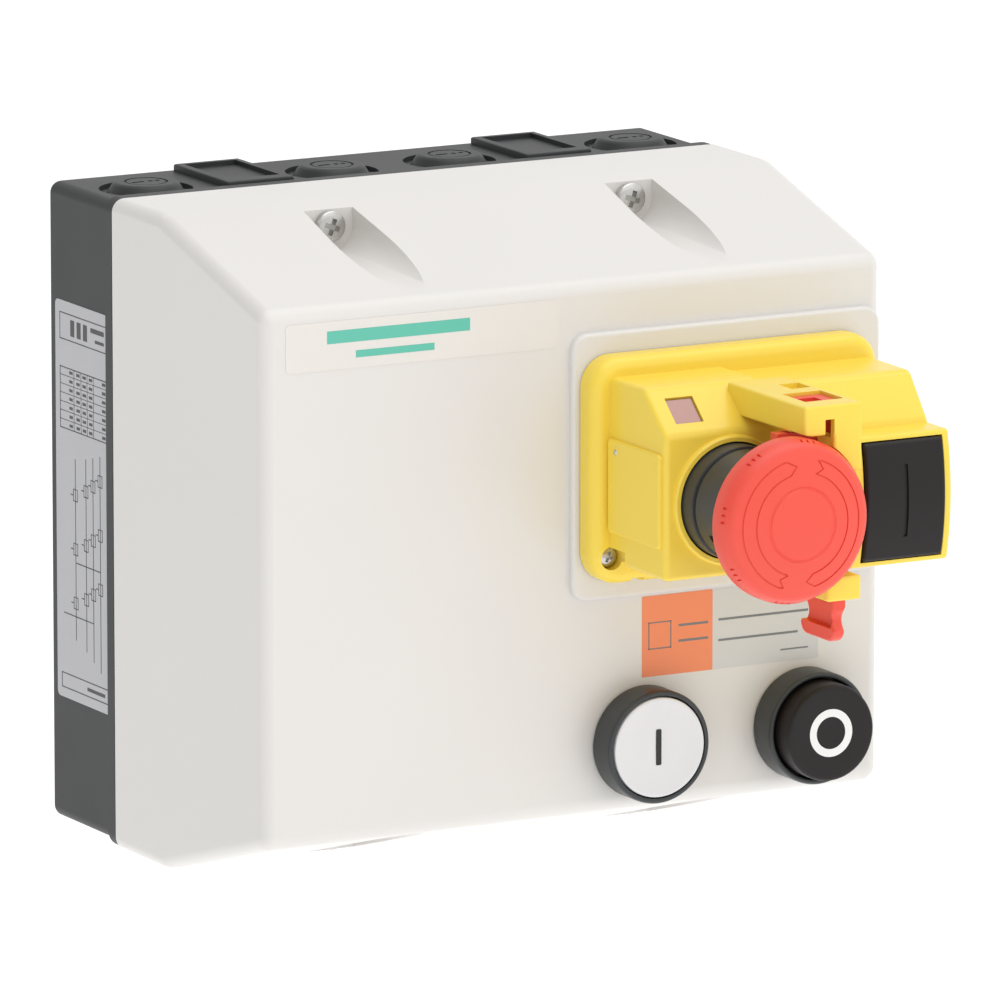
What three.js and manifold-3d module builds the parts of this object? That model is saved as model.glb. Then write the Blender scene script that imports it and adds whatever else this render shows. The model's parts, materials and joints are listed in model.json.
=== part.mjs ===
// A boxed magnetic motor starter: wall box, sloped cover, breaker, contactor and the cover's controls.
// Millimetres, +Z up. The origin is the middle of the wall face, the front looks towards -Y.
import * as THREE from "three";
import { mergeVertices } from "three/addons/utils/BufferGeometryUtils.js";
import Module from "manifold-3d";

const wasm = await Module();
wasm.setup();

// ---------------------------------------------------------------- driving dimensions
const caseWidth = 176;
const caseHeight = 167.5;
const caseDepth = 120;
const baseDepth = 38;
const frontHeight = 135;
const levelDepth = 26;
const wall = 2.5;
const gap = 0.3;

const bezelRadius = 14.5;
const panelHoleRadius = 11.3;
const barrelRadius = 10.9;
const mushroomRadius = 20.7;

// How far each control moves.
const capTravel = 3.2;
const pushTravel = 5;
const armatureTravel = 4;

// ---------------------------------------------------------------- places worked out from them
const halfWidth = caseWidth / 2;
const halfHeight = caseHeight / 2;
const halfFront = frontHeight / 2;
const frontY = -caseDepth;
const partingY = -baseDepth;
const slopeStartY = partingY - levelDepth;
const coverInsideY = frontY + wall;

const coverScrew = { x: 43, z: halfHeight - 5.75, seatY: slopeStartY - 5, headRadius: 4, shankRadius: 2 };
const baseInset = 1.2;
const baseTopZ = halfHeight - baseInset;

const estop = { x: 23.4, z: 17.2 };
const isolator = { x: 66.7, z: 15, width: 22.8, height: 30 };
const startButton = { x: 19.2, z: -50.8 };
const stopButton = { x: 65.5, z: -50.8 };

// The yellow operator housing: its body, the two heights of its roof, and its flange on the cover's pad.
const pad = { left: -2, right: 86.5, bottom: -13, top: 55, height: 2 };
const housing = { left: 4.7, right: 80.2, bottom: -2, frontY: frontY - 37.5, wall: 2.2 };
const leftRoof = { top: 45, creaseY: housing.frontY + 11.5, shoulderZ: 34.8 };
const rightRoof = { top: 43.6, creaseY: housing.frontY + 9.1, shoulderZ: 32.2 };
const flange = {
  left: 0, right: 82.4, bottom: -8, top: 49.7, frontY: frontY - 9, backY: frontY - pad.height - gap,
};
const estopHole = bezelRadius + 0.4;

// The arm over the mushroom head, the bracket under it, and the padlock slide they guide.
const arm = {
  left: 27.7, right: 44, frontY: housing.frontY - 29, bottom: 37.4, slotLeft: 33.5, slotRight: 36.1,
};
const bracket = { left: 34.4, bottom: -4.6, top: 1.5 };
const slide = { left: 39.2, right: 42.6, frontY: arm.frontY + 5.5, backY: arm.frontY + 22.1 };
const fork = { left: 24.9, frontY: arm.frontY + 8.7, backY: arm.frontY + 12.1 };
const slideCap = { left: 31.9, right: 42, backY: arm.frontY + 17.6 };

// The mushroom head, from its face to the back of its rim, and the collar behind it.
const mushroom = { faceY: arm.frontY - 7, rimFrontY: arm.frontY - 2.9, backY: arm.frontY + 2.9 };
const collar = { bore: 6.4, frontY: arm.frontY + 12.5, stepY: housing.frontY - 5.8, rearY: -110 };
const isolatorBackY = housing.frontY + 4;

const rail = { z: 18.5, height: 35, depth: 7.5, thickness: 1, backY: -wall - gap };
const deviceBackY = rail.backY - rail.depth - 0.4;
const breaker = { left: 22, right: 67, height: 89, depth: 77, ledgeY: -60, ledgeHeight: 17 };
breaker.bottom = rail.z - breaker.height / 2;
breaker.top = rail.z + breaker.height / 2;
breaker.frontY = deviceBackY - breaker.depth;
breaker.x = (breaker.left + breaker.right) / 2;
const contactor = {
  left: -72, right: -27, height: 58, splitY: -40, ledgeY: -58, frontY: -69, ledgeHeight: 12,
};
contactor.bottom = rail.z - contactor.height / 2;
contactor.top = rail.z + contactor.height / 2;
contactor.x = (contactor.left + contactor.right) / 2;
const polePitch = 14;
const railScrewPlaces = [{ x: -5, z: rail.z }, { x: breaker.right + 5, z: rail.z }];
const earthScrewPlace = { x: -55, z: -64 };

// The feet of the stop stem and the isolator's pusher, which bear on the breaker's buttons.
const footY = { front: -103, back: -98.3 };
const footHalf = 4;
const buttonSpread = 11;

// ---------------------------------------------------------------- finishes
const finish = (color, roughness, metalness = 0) =>
  new THREE.MeshStandardMaterial({ color, roughness, metalness });
const ivory = finish(0xe8e4dc, 0.38);
const charcoal = finish(0x4a4b4c, 0.5);
const yellow = finish(0xf7dc4e, 0.35);
const red = finish(0xee5141, 0.35);
const black = finish(0x2e2b2c, 0.5);
const bezelGrey = finish(0x3f4143, 0.42);
const white = finish(0xf2f2f0, 0.35);
const lensRed = finish(0xa9605c, 0.2);
const steel = finish(0xc4c6c8, 0.3, 1);
const zinc = finish(0xb4b7b4, 0.45, 1);
const brass = finish(0xc9a552, 0.35, 1);
const rubber = finish(0x26272a, 0.85);
const deviceGrey = finish(0x6d7174, 0.55);
const coilAmber = finish(0xb0702c, 0.5);
const coreSteel = finish(0x7d8084, 0.5, 1);

// ---------------------------------------------------------------- shapes
const points = (pairs) => pairs.map(([a, b]) => new THREE.Vector2(a, b));

// A closed outline through the corners, each one cut back by the same distance and rounded.
function roundedOutline(pairs, cutBack) {
  const corners = points(pairs);
  const outline = new THREE.Shape();
  corners.forEach((corner, i) => {
    const towards = (other) => corner.clone().lerp(other, cutBack / corner.distanceTo(other));
    const start = towards(corners.at(i - 1));
    const end = towards(corners[(i + 1) % corners.length]);
    if (i === 0) outline.moveTo(start.x, start.y);
    else outline.lineTo(start.x, start.y);
    outline.quadraticCurveTo(corner.x, corner.y, end.x, end.y);
  });
  outline.closePath();
  return outline;
}

const outlineOf = (pairs) => new THREE.Shape(points(pairs));

function rectangle(left, right, bottom, top, cutBack = 0) {
  const pairs = [[left, bottom], [right, bottom], [right, top], [left, top]];
  return cutBack ? roundedOutline(pairs, cutBack) : outlineOf(pairs);
}

// Extruded from 0 to the length along Z; a bevel rounds both ends inside the outline.
function extruded(outline, length, bevel) {
  return new THREE.ExtrudeGeometry(outline, {
    depth: length - 2 * bevel,
    bevelEnabled: bevel > 0,
    bevelSize: bevel,
    bevelOffset: -bevel,
    bevelThickness: bevel,
    bevelSegments: 2,
    curveSegments: 4,
  }).translate(0, 0, bevel);
}

// An outline drawn as (x, z), from the front plane to the back plane.
const alongY = (outline, front, back, bevel = 0) =>
  extruded(outline, back - front, bevel).rotateX(Math.PI / 2).translate(0, back, 0);

// An outline drawn as (y, z), from left to right.
const cycleAxes = new THREE.Matrix4().makeBasis(
  new THREE.Vector3(0, 1, 0),
  new THREE.Vector3(0, 0, 1),
  new THREE.Vector3(1, 0, 0),
);
const alongX = (outline, left, right, bevel = 0) =>
  extruded(outline, right - left, bevel).applyMatrix4(cycleAxes).translate(left, 0, 0);

// An outline drawn as (x, y), from bottom to top.
const alongZ = (outline, bottom, top, bevel = 0) =>
  extruded(outline, top - bottom, bevel).translate(0, 0, bottom);

const block = ([left, right], [front, back], [bottom, top]) =>
  new THREE.BoxGeometry(right - left, back - front, top - bottom).translate(
    (left + right) / 2,
    (front + back) / 2,
    (bottom + top) / 2,
  );

// A profile of (radius, y) pairs, front first, turned about a Y axis at a place (x, z).
const turned = (pairs, { x, z }, sides = 24) =>
  new THREE.LatheGeometry(points(pairs), sides).translate(x, 0, z);

const rod = (radius, front, back, place, sides = 16) =>
  turned([[0, front], [radius, front], [radius, back], [0, back]], place, sides);

const ring = (inner, outer, front, back, place, sides = 24) =>
  turned([[inner, front], [outer, front], [outer, back], [inner, back], [inner, front]], place, sides);

// ---------------------------------------------------------------- booleans
function solid(geometry) {
  const bare = geometry.clone();
  bare.deleteAttribute("normal");
  bare.deleteAttribute("uv");
  const merged = mergeVertices(bare, 1e-4);
  return new wasm.Manifold(
    new wasm.Mesh({
      numProp: 3,
      vertProperties: merged.attributes.position.array,
      triVerts: new Uint32Array(merged.index.array),
    }),
  );
}

const joined = (first, ...others) => others.reduce((sum, other) => sum.add(solid(other)), solid(first));
const cutBy = (body, ...tools) => tools.reduce((rest, tool) => rest.subtract(solid(tool)), body);

function geometryOf(body) {
  const { vertProperties, triVerts } = body.getMesh();
  const geometry = new THREE.BufferGeometry();
  geometry.setAttribute("position", new THREE.BufferAttribute(vertProperties, 3));
  geometry.setIndex(new THREE.BufferAttribute(triVerts, 1));
  const flat = geometry.toNonIndexed();
  flat.computeVertexNormals();
  return flat;
}

// ---------------------------------------------------------------- the assembly
const part = new THREE.Group();

function add(name, shape, material) {
  const mesh = new THREE.Mesh(shape.isBufferGeometry ? shape : geometryOf(shape), material);
  mesh.name = name;
  part.add(mesh);
  return mesh;
}

const bothSides = [-1, 1];
const cornerScrews = bothSides.flatMap((up) =>
  bothSides.map((side) => ({ x: side * coverScrew.x, z: up * coverScrew.z, up, side })),
);
const cornerName = ({ up, side }) => `${up > 0 ? "top" : "bottom"}_${side < 0 ? "left" : "right"}`;

// ---------------------------------------------------------------- back box
const seal = { outer: 1.5, inner: 2.7, front: partingY, back: partingY + 2 };
const boxFixing = { x: 70, z: 52, radius: 2.6 };
const blindScrewRadius = 1.9;
const screwCoverSize = {
  halfWidth: 9.3, frontY: partingY + 5, backY: -2.2, height: 0.65, border: 2, sunk: 1.2,
};
const knockout = { radius: 10.3, topRadius: 8, moatRadius: 12, height: 1.8, moatDepth: 1.2, y: -21.6 };
const knockoutPlaces = [-70, -17, 17, 70];

function backBox() {
  const rimDepth = 3.8;
  const rimY = partingY + gap / 2;
  const outer = (inset, front, back) =>
    rectangleAbout(halfWidth - inset, halfHeight - inset, 4, front, back);
  const envelope = joined(outer(baseInset, rimY, 0), outer(0, rimY, rimY + rimDepth));
  let box = cutBy(envelope, outer(baseInset + wall, rimY - 1, -wall));
  const pillar = { radius: 4.8, bore: 2.4 };
  for (const place of cornerScrews) {
    const raised = screwCover(place);
    const column = rod(pillar.radius, rimY, -wall / 2, place);
    box = box.add(solid(column).intersect(envelope.add(solid(raised)))).add(solid(raised));
    box = cutBy(box, rod(pillar.bore, rimY - 1, -8, place), screwCoverPanel(place));
  }
  for (const x of knockoutPlaces) {
    for (const up of bothSides) {
      const { radius, topRadius, moatRadius, moatDepth, height } = knockout;
      box = cutBy(box, disc(moatRadius, moatRadius, x, up, baseTopZ - moatDepth, baseTopZ + 1));
      box = box.add(solid(disc(radius, topRadius, x, up, baseTopZ - moatDepth - 0.4, baseTopZ + height)));
    }
  }
  box = cutBy(box, alongY(loopOutline(seal.outer - gap, seal.inner + gap), rimY - 1, seal.back + gap));
  for (const side of bothSides) {
    for (const up of bothSides) {
      const place = { x: side * boxFixing.x, z: up * boxFixing.z };
      box = cutBy(box, rod(boxFixing.radius, -wall - 1, 1, place));
    }
  }
  for (const place of [...railScrewPlaces, earthScrewPlace]) {
    box = cutBy(box, rod(blindScrewRadius, -wall - 1, -0.8, place));
  }
  return box;
}

// A rounded rectangle about the Y axis, from the front plane to the back plane.
const rectangleAbout = (halfX, halfZ, cutBack, front, back) =>
  alongY(rectangle(-halfX, halfX, -halfZ, halfZ, cutBack), front, back);

// An upright disc standing on the top (up = 1) or the bottom (up = -1) of the box.
function disc(nearRadius, farRadius, x, up, near, far) {
  return new THREE.CylinderGeometry(farRadius, nearRadius, far - near, 20)
    .rotateX((up * Math.PI) / 2)
    .translate(x, knockout.y, (up * (near + far)) / 2);
}

// The raised block that covers a screw pillar, and the panel sunk in it.
function screwCover({ x, up }) {
  const { halfWidth: half, frontY: front, backY, height } = screwCoverSize;
  const reach = [up * (baseTopZ - wall), up * (halfHeight + height)].sort((a, b) => a - b);
  return block([x - half, x + half], [front, backY], reach);
}

function screwCoverPanel({ x, up }) {
  const { halfWidth: half, frontY: front, backY, height, border, sunk } = screwCoverSize;
  const top = halfHeight + height;
  const reach = [up * (top - sunk), up * (top + 1)].sort((a, b) => a - b);
  return block([x - half + border, x + half - border], [front + 2 * border, backY - border], reach);
}

// ---------------------------------------------------------------- seal between box and cover
// A closed band whose edges lie the given distances inside the case outline.
function loopOutline(outerInset, innerInset) {
  const edge = (inset) => rectangle(
    -halfWidth + inset, halfWidth - inset, -halfHeight + inset, halfHeight - inset, 3,
  );
  const outline = edge(outerInset);
  outline.holes.push(edge(innerInset));
  return outline;
}

const coverSeal = () => alongY(loopOutline(seal.outer, seal.inner), seal.front, seal.back);

// ---------------------------------------------------------------- cover
const channel = { mouthRadius: 9.8, seatRadius: 6.9 };
const sliceDepth = 0.01;

function coverForm(inset, rearY) {
  const beyond = 12;
  const upperZ = halfHeight - inset;
  const lowerZ = halfFront - inset * 0.85;
  const noseY = frontY + inset;
  const rounding = 5 - inset * 1.2;
  const side = roundedOutline(
    [
      [rearY + beyond, upperZ], [slopeStartY, upperZ], [noseY, lowerZ],
      [noseY, -lowerZ], [slopeStartY, -upperZ], [rearY + beyond, -upperZ],
    ],
    rounding,
  );
  const halfX = halfWidth - inset;
  const plan = rectangle(-halfX, halfX, noseY, rearY + beyond, rounding);
  return solid(alongX(side, -halfX, halfX))
    .intersect(solid(alongZ(plan, -upperZ, upperZ)))
    .intersect(solid(rectangleAbout(halfX, upperZ, 4, noseY, rearY)));
}

// A U-shaped channel that lets a screwdriver reach the screw, widened by the margin.
// It tapers from the cover's front down to the screw's seat.
function screwChannel(place, margin, backY) {
  const mouth = channelSection(place, channel.mouthRadius + margin, frontY - 1);
  const seat = channelSection(place, channel.seatRadius + margin, backY - sliceDepth);
  return wasm.Manifold.hull([mouth, seat]);
}

// A thin slice of the channel, open outwards.
function channelSection({ x, z, up }, radius, front) {
  const outline = new THREE.Shape();
  const open = up * (halfHeight + 10);
  outline.moveTo(x - radius, open);
  outline.lineTo(x - radius, z);
  outline.absarc(x, z, radius, Math.PI, up > 0 ? 2 * Math.PI : 0, up < 0);
  outline.lineTo(x + radius, open);
  outline.closePath();
  return solid(alongY(outline, front, front + sliceDepth));
}

function cover() {
  const rearY = partingY - gap / 2;
  const outer = coverForm(0, rearY);
  let body = outer.subtract(coverForm(wall, rearY + 1));
  for (const place of cornerScrews) {
    body = body.add(screwChannel(place, wall, coverScrew.seatY + wall).intersect(outer));
    body = body.add(solid(rod(4.6, coverScrew.seatY, rearY, place)).intersect(outer));
    body = body.subtract(screwChannel(place, 0, coverScrew.seatY));
    body = cutBy(body, rod(coverScrew.shankRadius + 0.4, frontY, rearY + 1, place));
  }
  const padOutline = rectangle(pad.left, pad.right, pad.bottom, pad.top, 5);
  body = body.add(solid(alongY(padOutline, frontY - pad.height, coverInsideY - 0.7, 1)));
  const hole = (radius, place, sides) => rod(radius, frontY - pad.height - 1, coverInsideY + 1, place, sides);
  return cutBy(
    body,
    ...[startButton, stopButton, estop].map((place) => hole(panelHoleRadius, place, 32)),
    ...housingScrewPlaces.map((place) => hole(housingScrew.clearRadius, place)),
    hole(pusherRadius + 0.6, isolator, 20),
  );
}

// A pan-head screw, its head in front of the seat plane, with a crossed or a plain slotted recess.
function screw({ x, z }, seatY, tipY, headRadius, shankRadius, crossed = true) {
  const headHeight = headRadius * 0.62;
  const top = seatY - headHeight;
  const body = solid(
    turned(
      [
        [0, top], [headRadius * 0.55, top + headHeight * 0.08], [headRadius * 0.88, top + headHeight * 0.4],
        [headRadius, seatY - headHeight * 0.25], [headRadius, seatY], [shankRadius, seatY],
        [shankRadius, tipY], [0, tipY],
      ],
      { x, z },
      crossed ? 12 : 10,
    ),
  );
  const reach = headRadius * 0.55;
  const half = headRadius * 0.13;
  const depth = [top - 1, top + headHeight * 0.6];
  const slotted = cutBy(body, block([x - reach, x + reach], depth, [z - half, z + half]));
  return crossed ? cutBy(slotted, block([x - half, x + half], depth, [z - reach, z + reach])) : slotted;
}

// ---------------------------------------------------------------- yellow operator housing
const housingScrew = {
  headRadius: 2.6, shankRadius: 1.5, clearRadius: 2, recessRadius: 3, bossRadius: 5,
  seatY: flange.frontY + 3.8,
};
const housingScrewPlaces = [{ x: flange.left + 5.4, z: -1 }, { x: flange.right - 5.4, z: -1 }];
const drainNotch = { places: [13.5, 41.8], halfWidth: 1.8, height: 1.2 };

// The side profile of the housing's body, drawn inside its walls by the inset.
function housingProfile(inset, backY, { top, creaseY, shoulderZ }) {
  const { bottom, frontY: noseY } = housing;
  return outlineOf([
    [backY, bottom + inset], [noseY + inset, bottom + inset], [noseY + inset, shoulderZ - inset * 0.4],
    [creaseY + inset * 0.4, top - inset], [backY, top - inset],
  ]);
}

// The frame around the isolator's button, bowed out at its middle height.
function isolatorFrame() {
  const bottom = isolator.z - isolator.height / 2 - 1.6;
  const top = isolator.z + isolator.height / 2 + 1.6;
  const outline = new THREE.Shape();
  outline.moveTo(housing.frontY + 1, bottom);
  outline.lineTo(housing.frontY - 9, bottom);
  outline.quadraticCurveTo(housing.frontY - 13, isolator.z, housing.frontY - 9, top);
  outline.lineTo(housing.frontY + 1, top);
  outline.closePath();
  return alongX(outline, isolator.x - isolator.width / 2 - 3, housing.right + 0.2);
}

// The housing's flange and body before they are hollowed out.
const housingEnvelope = () =>
  joined(
    alongY(
      rectangle(flange.left, flange.right, flange.bottom, flange.top, 8), flange.frontY, flange.backY, 1.5,
    ),
    ...housingHalves(0, flange.backY - 1, 0.8),
  );

function operatorHousing() {
  const { frontY: noseY } = housing;
  const lip = ring(estopHole, estopHole + 1.6, noseY - 1, noseY + 1, estop, 40);
  const hollow = housingHalves(housing.wall, 0);
  const envelope = housingEnvelope();
  let body = envelope.add(joined(isolatorFrame(), sidePanel(), lip));
  body = cutBy(body, ...hollow, rod(estopHole, noseY - 5, noseY + 5, estop, 40));
  body = body.add(cutBy(armAndBracket(), ...hollow));
  body = cutBy(
    body,
    rod(mushroomRadius + 2 * gap, arm.frontY - 1, fork.frontY - gap, estop, 40),
    rod(estopHole, arm.frontY - 1, noseY + 0.1, estop, 40),
    isolatorOpening(),
    lensSlot(),
  );
  for (const place of housingScrewPlaces) {
    const { bossRadius, recessRadius, clearRadius, seatY } = housingScrew;
    const boss = solid(rod(bossRadius, flange.frontY - 9, flange.backY, place)).intersect(envelope);
    body = cutBy(
      body.add(boss),
      rod(recessRadius, flange.frontY - 8, seatY, place, 20),
      rod(clearRadius, flange.frontY, flange.backY + 1, place),
    );
  }
  return cutBy(body, ...drainNotch.places.map(drainNotchAt));
}

const drainNotchAt = (x) => block(
  [x - drainNotch.halfWidth, x + drainNotch.halfWidth],
  [flange.frontY - 1, flange.backY + 1],
  [flange.bottom - 1, flange.bottom + drainNotch.height],
);

// The housing's body left and right of the arm, drawn inside its walls by the inset.
const housingHalves = (inset, backY, bevel = 0) => [
  alongX(housingProfile(inset, backY, leftRoof), housing.left + inset, arm.slotRight, bevel),
  alongX(housingProfile(inset, backY, rightRoof), arm.slotRight - 2, housing.right - inset, bevel),
];

function sidePanel() {
  const outline = rectangle(housing.frontY + 1.5, housing.frontY + 28, 6, 30, 1);
  return alongX(outline, housing.left - 1.1, housing.left + 1, 0.4);
}

function isolatorOpening() {
  const halfX = isolator.width / 2 + gap;
  const halfZ = isolator.height / 2 + gap;
  return block(
    [isolator.x - halfX, isolator.x + halfX],
    [housing.frontY - 15, isolatorBackY + pushTravel + gap],
    [isolator.z - halfZ, isolator.z + halfZ],
  );
}

// The arm over the mushroom head and the bracket under it, with the ways cut for the padlock slide.
function armAndBracket() {
  const legBottom = 28;
  const rootY = leftRoof.creaseY - 2;
  const cavity = { left: slideCap.left - 0.4, frontY: arm.frontY + 1.9, backY: slide.backY + gap };
  const guideFrontY = arm.frontY + 6.2;
  const across = [slide.left - gap, slide.right + gap];
  const top = leftRoof.top;
  const upper = joined(
    block([arm.left, arm.right], [arm.frontY, rootY], [arm.bottom, top]),
    block([arm.slotRight, arm.right], [arm.frontY, cavity.backY + 1.5], [legBottom, arm.bottom + 1]),
    block([bracket.left, arm.right], [arm.frontY, housing.frontY + 1], [bracket.bottom, bracket.top]),
  );
  const room = block([cavity.left, across[1]], [cavity.frontY, cavity.backY], [arm.bottom - 1, top - 2.6]);
  const legGuide = block(across, [guideFrontY, cavity.backY], [legBottom - 1, arm.bottom]);
  const headWay = block(
    [arm.slotRight - 1, slide.left], [fork.frontY - gap, cavity.backY], [legBottom - 1, arm.bottom + 1],
  );
  const frontSlot = block(
    [arm.slotLeft, arm.slotRight], [arm.frontY - 1, cavity.frontY + 1], [legBottom, top - 3.6],
  );
  const capWindow = block(
    [cavity.left, slideCap.right + 0.4], [guideFrontY + gap, slideCap.backY + 0.4], [top - 3, top + 1],
  );
  const blindWindow = block([37, slide.right], [arm.frontY + 23, housing.frontY + 0.5], [top - 2, top + 1]);
  const bracketGuide = block(
    across, [slide.frontY - gap, slide.backY + gap], [bracket.bottom - 1, bracket.top + 1],
  );
  return cutBy(upper, room, legGuide, headWay, frontSlot, capWindow, blindWindow, bracketGuide);
}

// ---------------------------------------------------------------- position indicator lens
const slopeAngle = Math.atan2(leftRoof.top - leftRoof.shoulderZ, leftRoof.creaseY - housing.frontY);
const lens = { x: 13.15, width: 7.3, height: 7.6, thickness: 1.2 };
const lensMiddle = new THREE.Vector3(
  lens.x,
  (leftRoof.creaseY + housing.frontY) / 2,
  (leftRoof.top + leftRoof.shoulderZ) / 2,
);

// A flat box lying in the housing's slope, its front face sunk below the slope.
function slopeBox(width, height, thickness, sunk) {
  return new THREE.BoxGeometry(width, height, thickness)
    .translate(0, 0, -thickness / 2 - sunk)
    .rotateX(slopeAngle)
    .translate(lensMiddle.x, lensMiddle.y, lensMiddle.z);
}

const lensSlot = () => slopeBox(lens.width + 2 * gap, lens.height + 2 * gap, housing.wall * 3, -1);

// ---------------------------------------------------------------- padlock slide
const tongue = { bottom: -16.4, waistZ: -11.5, waistDepth: 1.6, tipRadius: 3, holeZ: -3.5, holeRadius: 4 };

// The slide's flat strip, seen from its side: a tongue with a waist and a padlock hole at its lower end.
function slideStrip(top) {
  const { frontY: front, backY: back } = slide;
  const { bottom, waistZ, waistDepth, tipRadius, holeZ, holeRadius } = tongue;
  const waist = { top: waistZ + 3, bottom: waistZ - 2 };
  const edge = new THREE.Shape();
  edge.moveTo(fork.frontY, top);
  edge.lineTo(fork.frontY, bracket.top + 2.5);
  edge.lineTo(front, bracket.top + 0.5);
  edge.lineTo(front, waist.top);
  edge.quadraticCurveTo(front + waistDepth, waistZ, front, waist.bottom);
  edge.quadraticCurveTo(front, bottom, front + tipRadius, bottom);
  edge.lineTo(back - tipRadius, bottom);
  edge.quadraticCurveTo(back, bottom, back, waist.bottom);
  edge.quadraticCurveTo(back - waistDepth, waistZ, back, waist.top);
  edge.lineTo(back, top);
  edge.closePath();
  edge.holes.push(new THREE.Path().absarc((front + back) / 2, holeZ, holeRadius, 0, 2 * Math.PI));
  return alongX(edge, slide.left, slide.right);
}

function padlockSlide() {
  const headTop = leftRoof.top - 3.1;
  const capTop = leftRoof.top - 0.8;
  const body = joined(
    slideStrip(headTop),
    block([slideCap.left, slide.right], [fork.frontY, slide.backY], [arm.bottom - 0.4, headTop]),
    block([fork.left, slide.right], [fork.frontY, fork.backY], [31.8, arm.bottom - gap]),
    block([slideCap.left, slideCap.right], [fork.frontY, slideCap.backY], [headTop - 1, capTop]),
  );
  const pocket = block([33.4, 38.6], [fork.frontY + 1.5, fork.frontY + 5.8], [capTop - 3, capTop + 1]);
  return cutBy(body, pocket);
}

// ---------------------------------------------------------------- mushroom stop control
function estopCollar() {
  const { bore, frontY: front, stepY, rearY } = collar;
  const flangeBack = housing.frontY + 1;
  return turned(
    [
      [bore, front], [bezelRadius - 1, front], [bezelRadius - 0.5, front + 0.5],
      [bezelRadius - 0.5, stepY - 0.5], [bezelRadius - 1.2, stepY - 0.5], [bezelRadius - 1.2, stepY],
      [bezelRadius, stepY + 0.3], [bezelRadius, flangeBack], [barrelRadius, flangeBack],
      [barrelRadius, rearY], [bore, rearY], [bore, front],
    ],
    estop,
    28,
  );
}

function estopStem() {
  const frontMost = mushroom.backY + gap;
  const shoulderY = collar.rearY - 2;
  const radius = { thick: collar.bore - 0.4, thin: 3 };
  const stem = turned(
    [
      [0, frontMost], [radius.thick, frontMost], [radius.thick, shoulderY],
      [radius.thin, shoulderY], [radius.thin, -100], [0, -100],
    ],
    estop,
  );
  const foot = block(
    [estop.x - footHalf, breaker.x - buttonSpread + footHalf],
    [footY.front, footY.back],
    [estop.z - footHalf, estop.z + footHalf],
  );
  return joined(stem, foot);
}

function mushroomHead() {
  const { faceY, rimFrontY, backY } = mushroom;
  const head = new THREE.Path();
  head.moveTo(0, faceY);
  head.quadraticCurveTo(mushroomRadius - 3, faceY, mushroomRadius - 0.6, rimFrontY - 1);
  head.lineTo(mushroomRadius, rimFrontY);
  head.lineTo(mushroomRadius, backY - 1.4);
  head.lineTo(mushroomRadius - 1, backY);
  head.lineTo(0, backY);
  return turned(head.getPoints(5).map(({ x, y }) => [x, y]), estop, 32);
}

// ---------------------------------------------------------------- isolator button
const pusherRadius = 3.8;

function isolatorButton() {
  const backY = isolatorBackY;
  const bottom = isolator.z - isolator.height / 2;
  const top = isolator.z + isolator.height / 2;
  const edgeY = housing.frontY - 10.2;
  const outline = new THREE.Shape();
  outline.moveTo(backY, bottom);
  outline.lineTo(edgeY, bottom);
  outline.quadraticCurveTo(edgeY - 4, isolator.z, edgeY, top);
  outline.lineTo(backY, top);
  outline.closePath();
  const half = isolator.width / 2;
  const body = solid(alongX(outline, isolator.x - half, isolator.x + half, 0.5));
  const mark = { halfWidth: 0.6, halfHeight: 9.2, depth: 0.5 };
  return cutBy(
    body,
    block(
      [isolator.x - mark.halfWidth, isolator.x + mark.halfWidth],
      [edgeY - 5, edgeY - 1.4 + mark.depth],
      [isolator.z - mark.halfHeight, isolator.z + mark.halfHeight],
    ),
  );
}

function isolatorPusher() {
  const shaft = rod(pusherRadius, isolatorBackY + gap, footY.back - 1, isolator, 20);
  const foot = block(
    [breaker.x + buttonSpread - footHalf, isolator.x + footHalf],
    [footY.front, footY.back],
    [isolator.z - footHalf, isolator.z + footHalf],
  );
  return joined(shaft, foot);
}

// ---------------------------------------------------------------- start and stop buttons
const bezelHeight = 8.9;
const bezelFaceY = frontY - bezelHeight;
const floorY = frontY - 2.3;
const guideBore = 9.4;
const bezelRearY = -109.5;
const capRearY = -114;

function buttonBezel(place) {
  return turned(
    [
      [13.1, bezelFaceY + 0.3], [13.6, bezelFaceY], [bezelRadius - 0.7, bezelFaceY],
      [bezelRadius, bezelFaceY + 0.9], [bezelRadius, frontY - gap], [barrelRadius, frontY - gap],
      [barrelRadius, bezelRearY], [guideBore, bezelRearY], [guideBore, floorY],
      [13.1, floorY], [13.1, bezelFaceY + 0.3],
    ],
    place,
    28,
  );
}

function buttonCap(place, faceY, radius) {
  const rimY = floorY - gap - capTravel;
  return turned(
    [
      [0, faceY + 0.35], [radius * 0.8, faceY + 0.1], [radius - 0.7, faceY], [radius, faceY + 0.7],
      [radius, rimY], [guideBore - gap, rimY], [guideBore - gap, capRearY], [0, capRearY],
    ],
    place,
    28,
  );
}

const lockNut = (place) =>
  ring(barrelRadius + gap, bezelRadius - 2, coverInsideY + gap, coverInsideY + 5.5, place, 20);

const contactBlockSize = { halfX: 13, halfZ: 15, frontY: -108, backY: -80 };
const plungerRadius = 2.5;

function contactBlock({ x, z }) {
  const { halfX, halfZ, frontY: front, backY } = contactBlockSize;
  const body = solid(alongY(rectangle(x - halfX, x + halfX, z - halfZ, z + halfZ), front, backY));
  const shoulder = 6;
  const notches = bothSides.map((up) => {
    const near = [z + up * (halfZ - shoulder), z + up * (halfZ + 1)].sort((a, b) => a - b);
    return block([x - halfX + 2, x + halfX - 2], [backY - 6, backY + 1], near);
  });
  return cutBy(body, rod(plungerRadius + gap, front - 1, -94, { x, z }), ...notches);
}

const buttonPlunger = (place) => rod(plungerRadius, capRearY + gap, -98, place);

// ---------------------------------------------------------------- rail and its screws
const screwClearance = 2.1;

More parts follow.
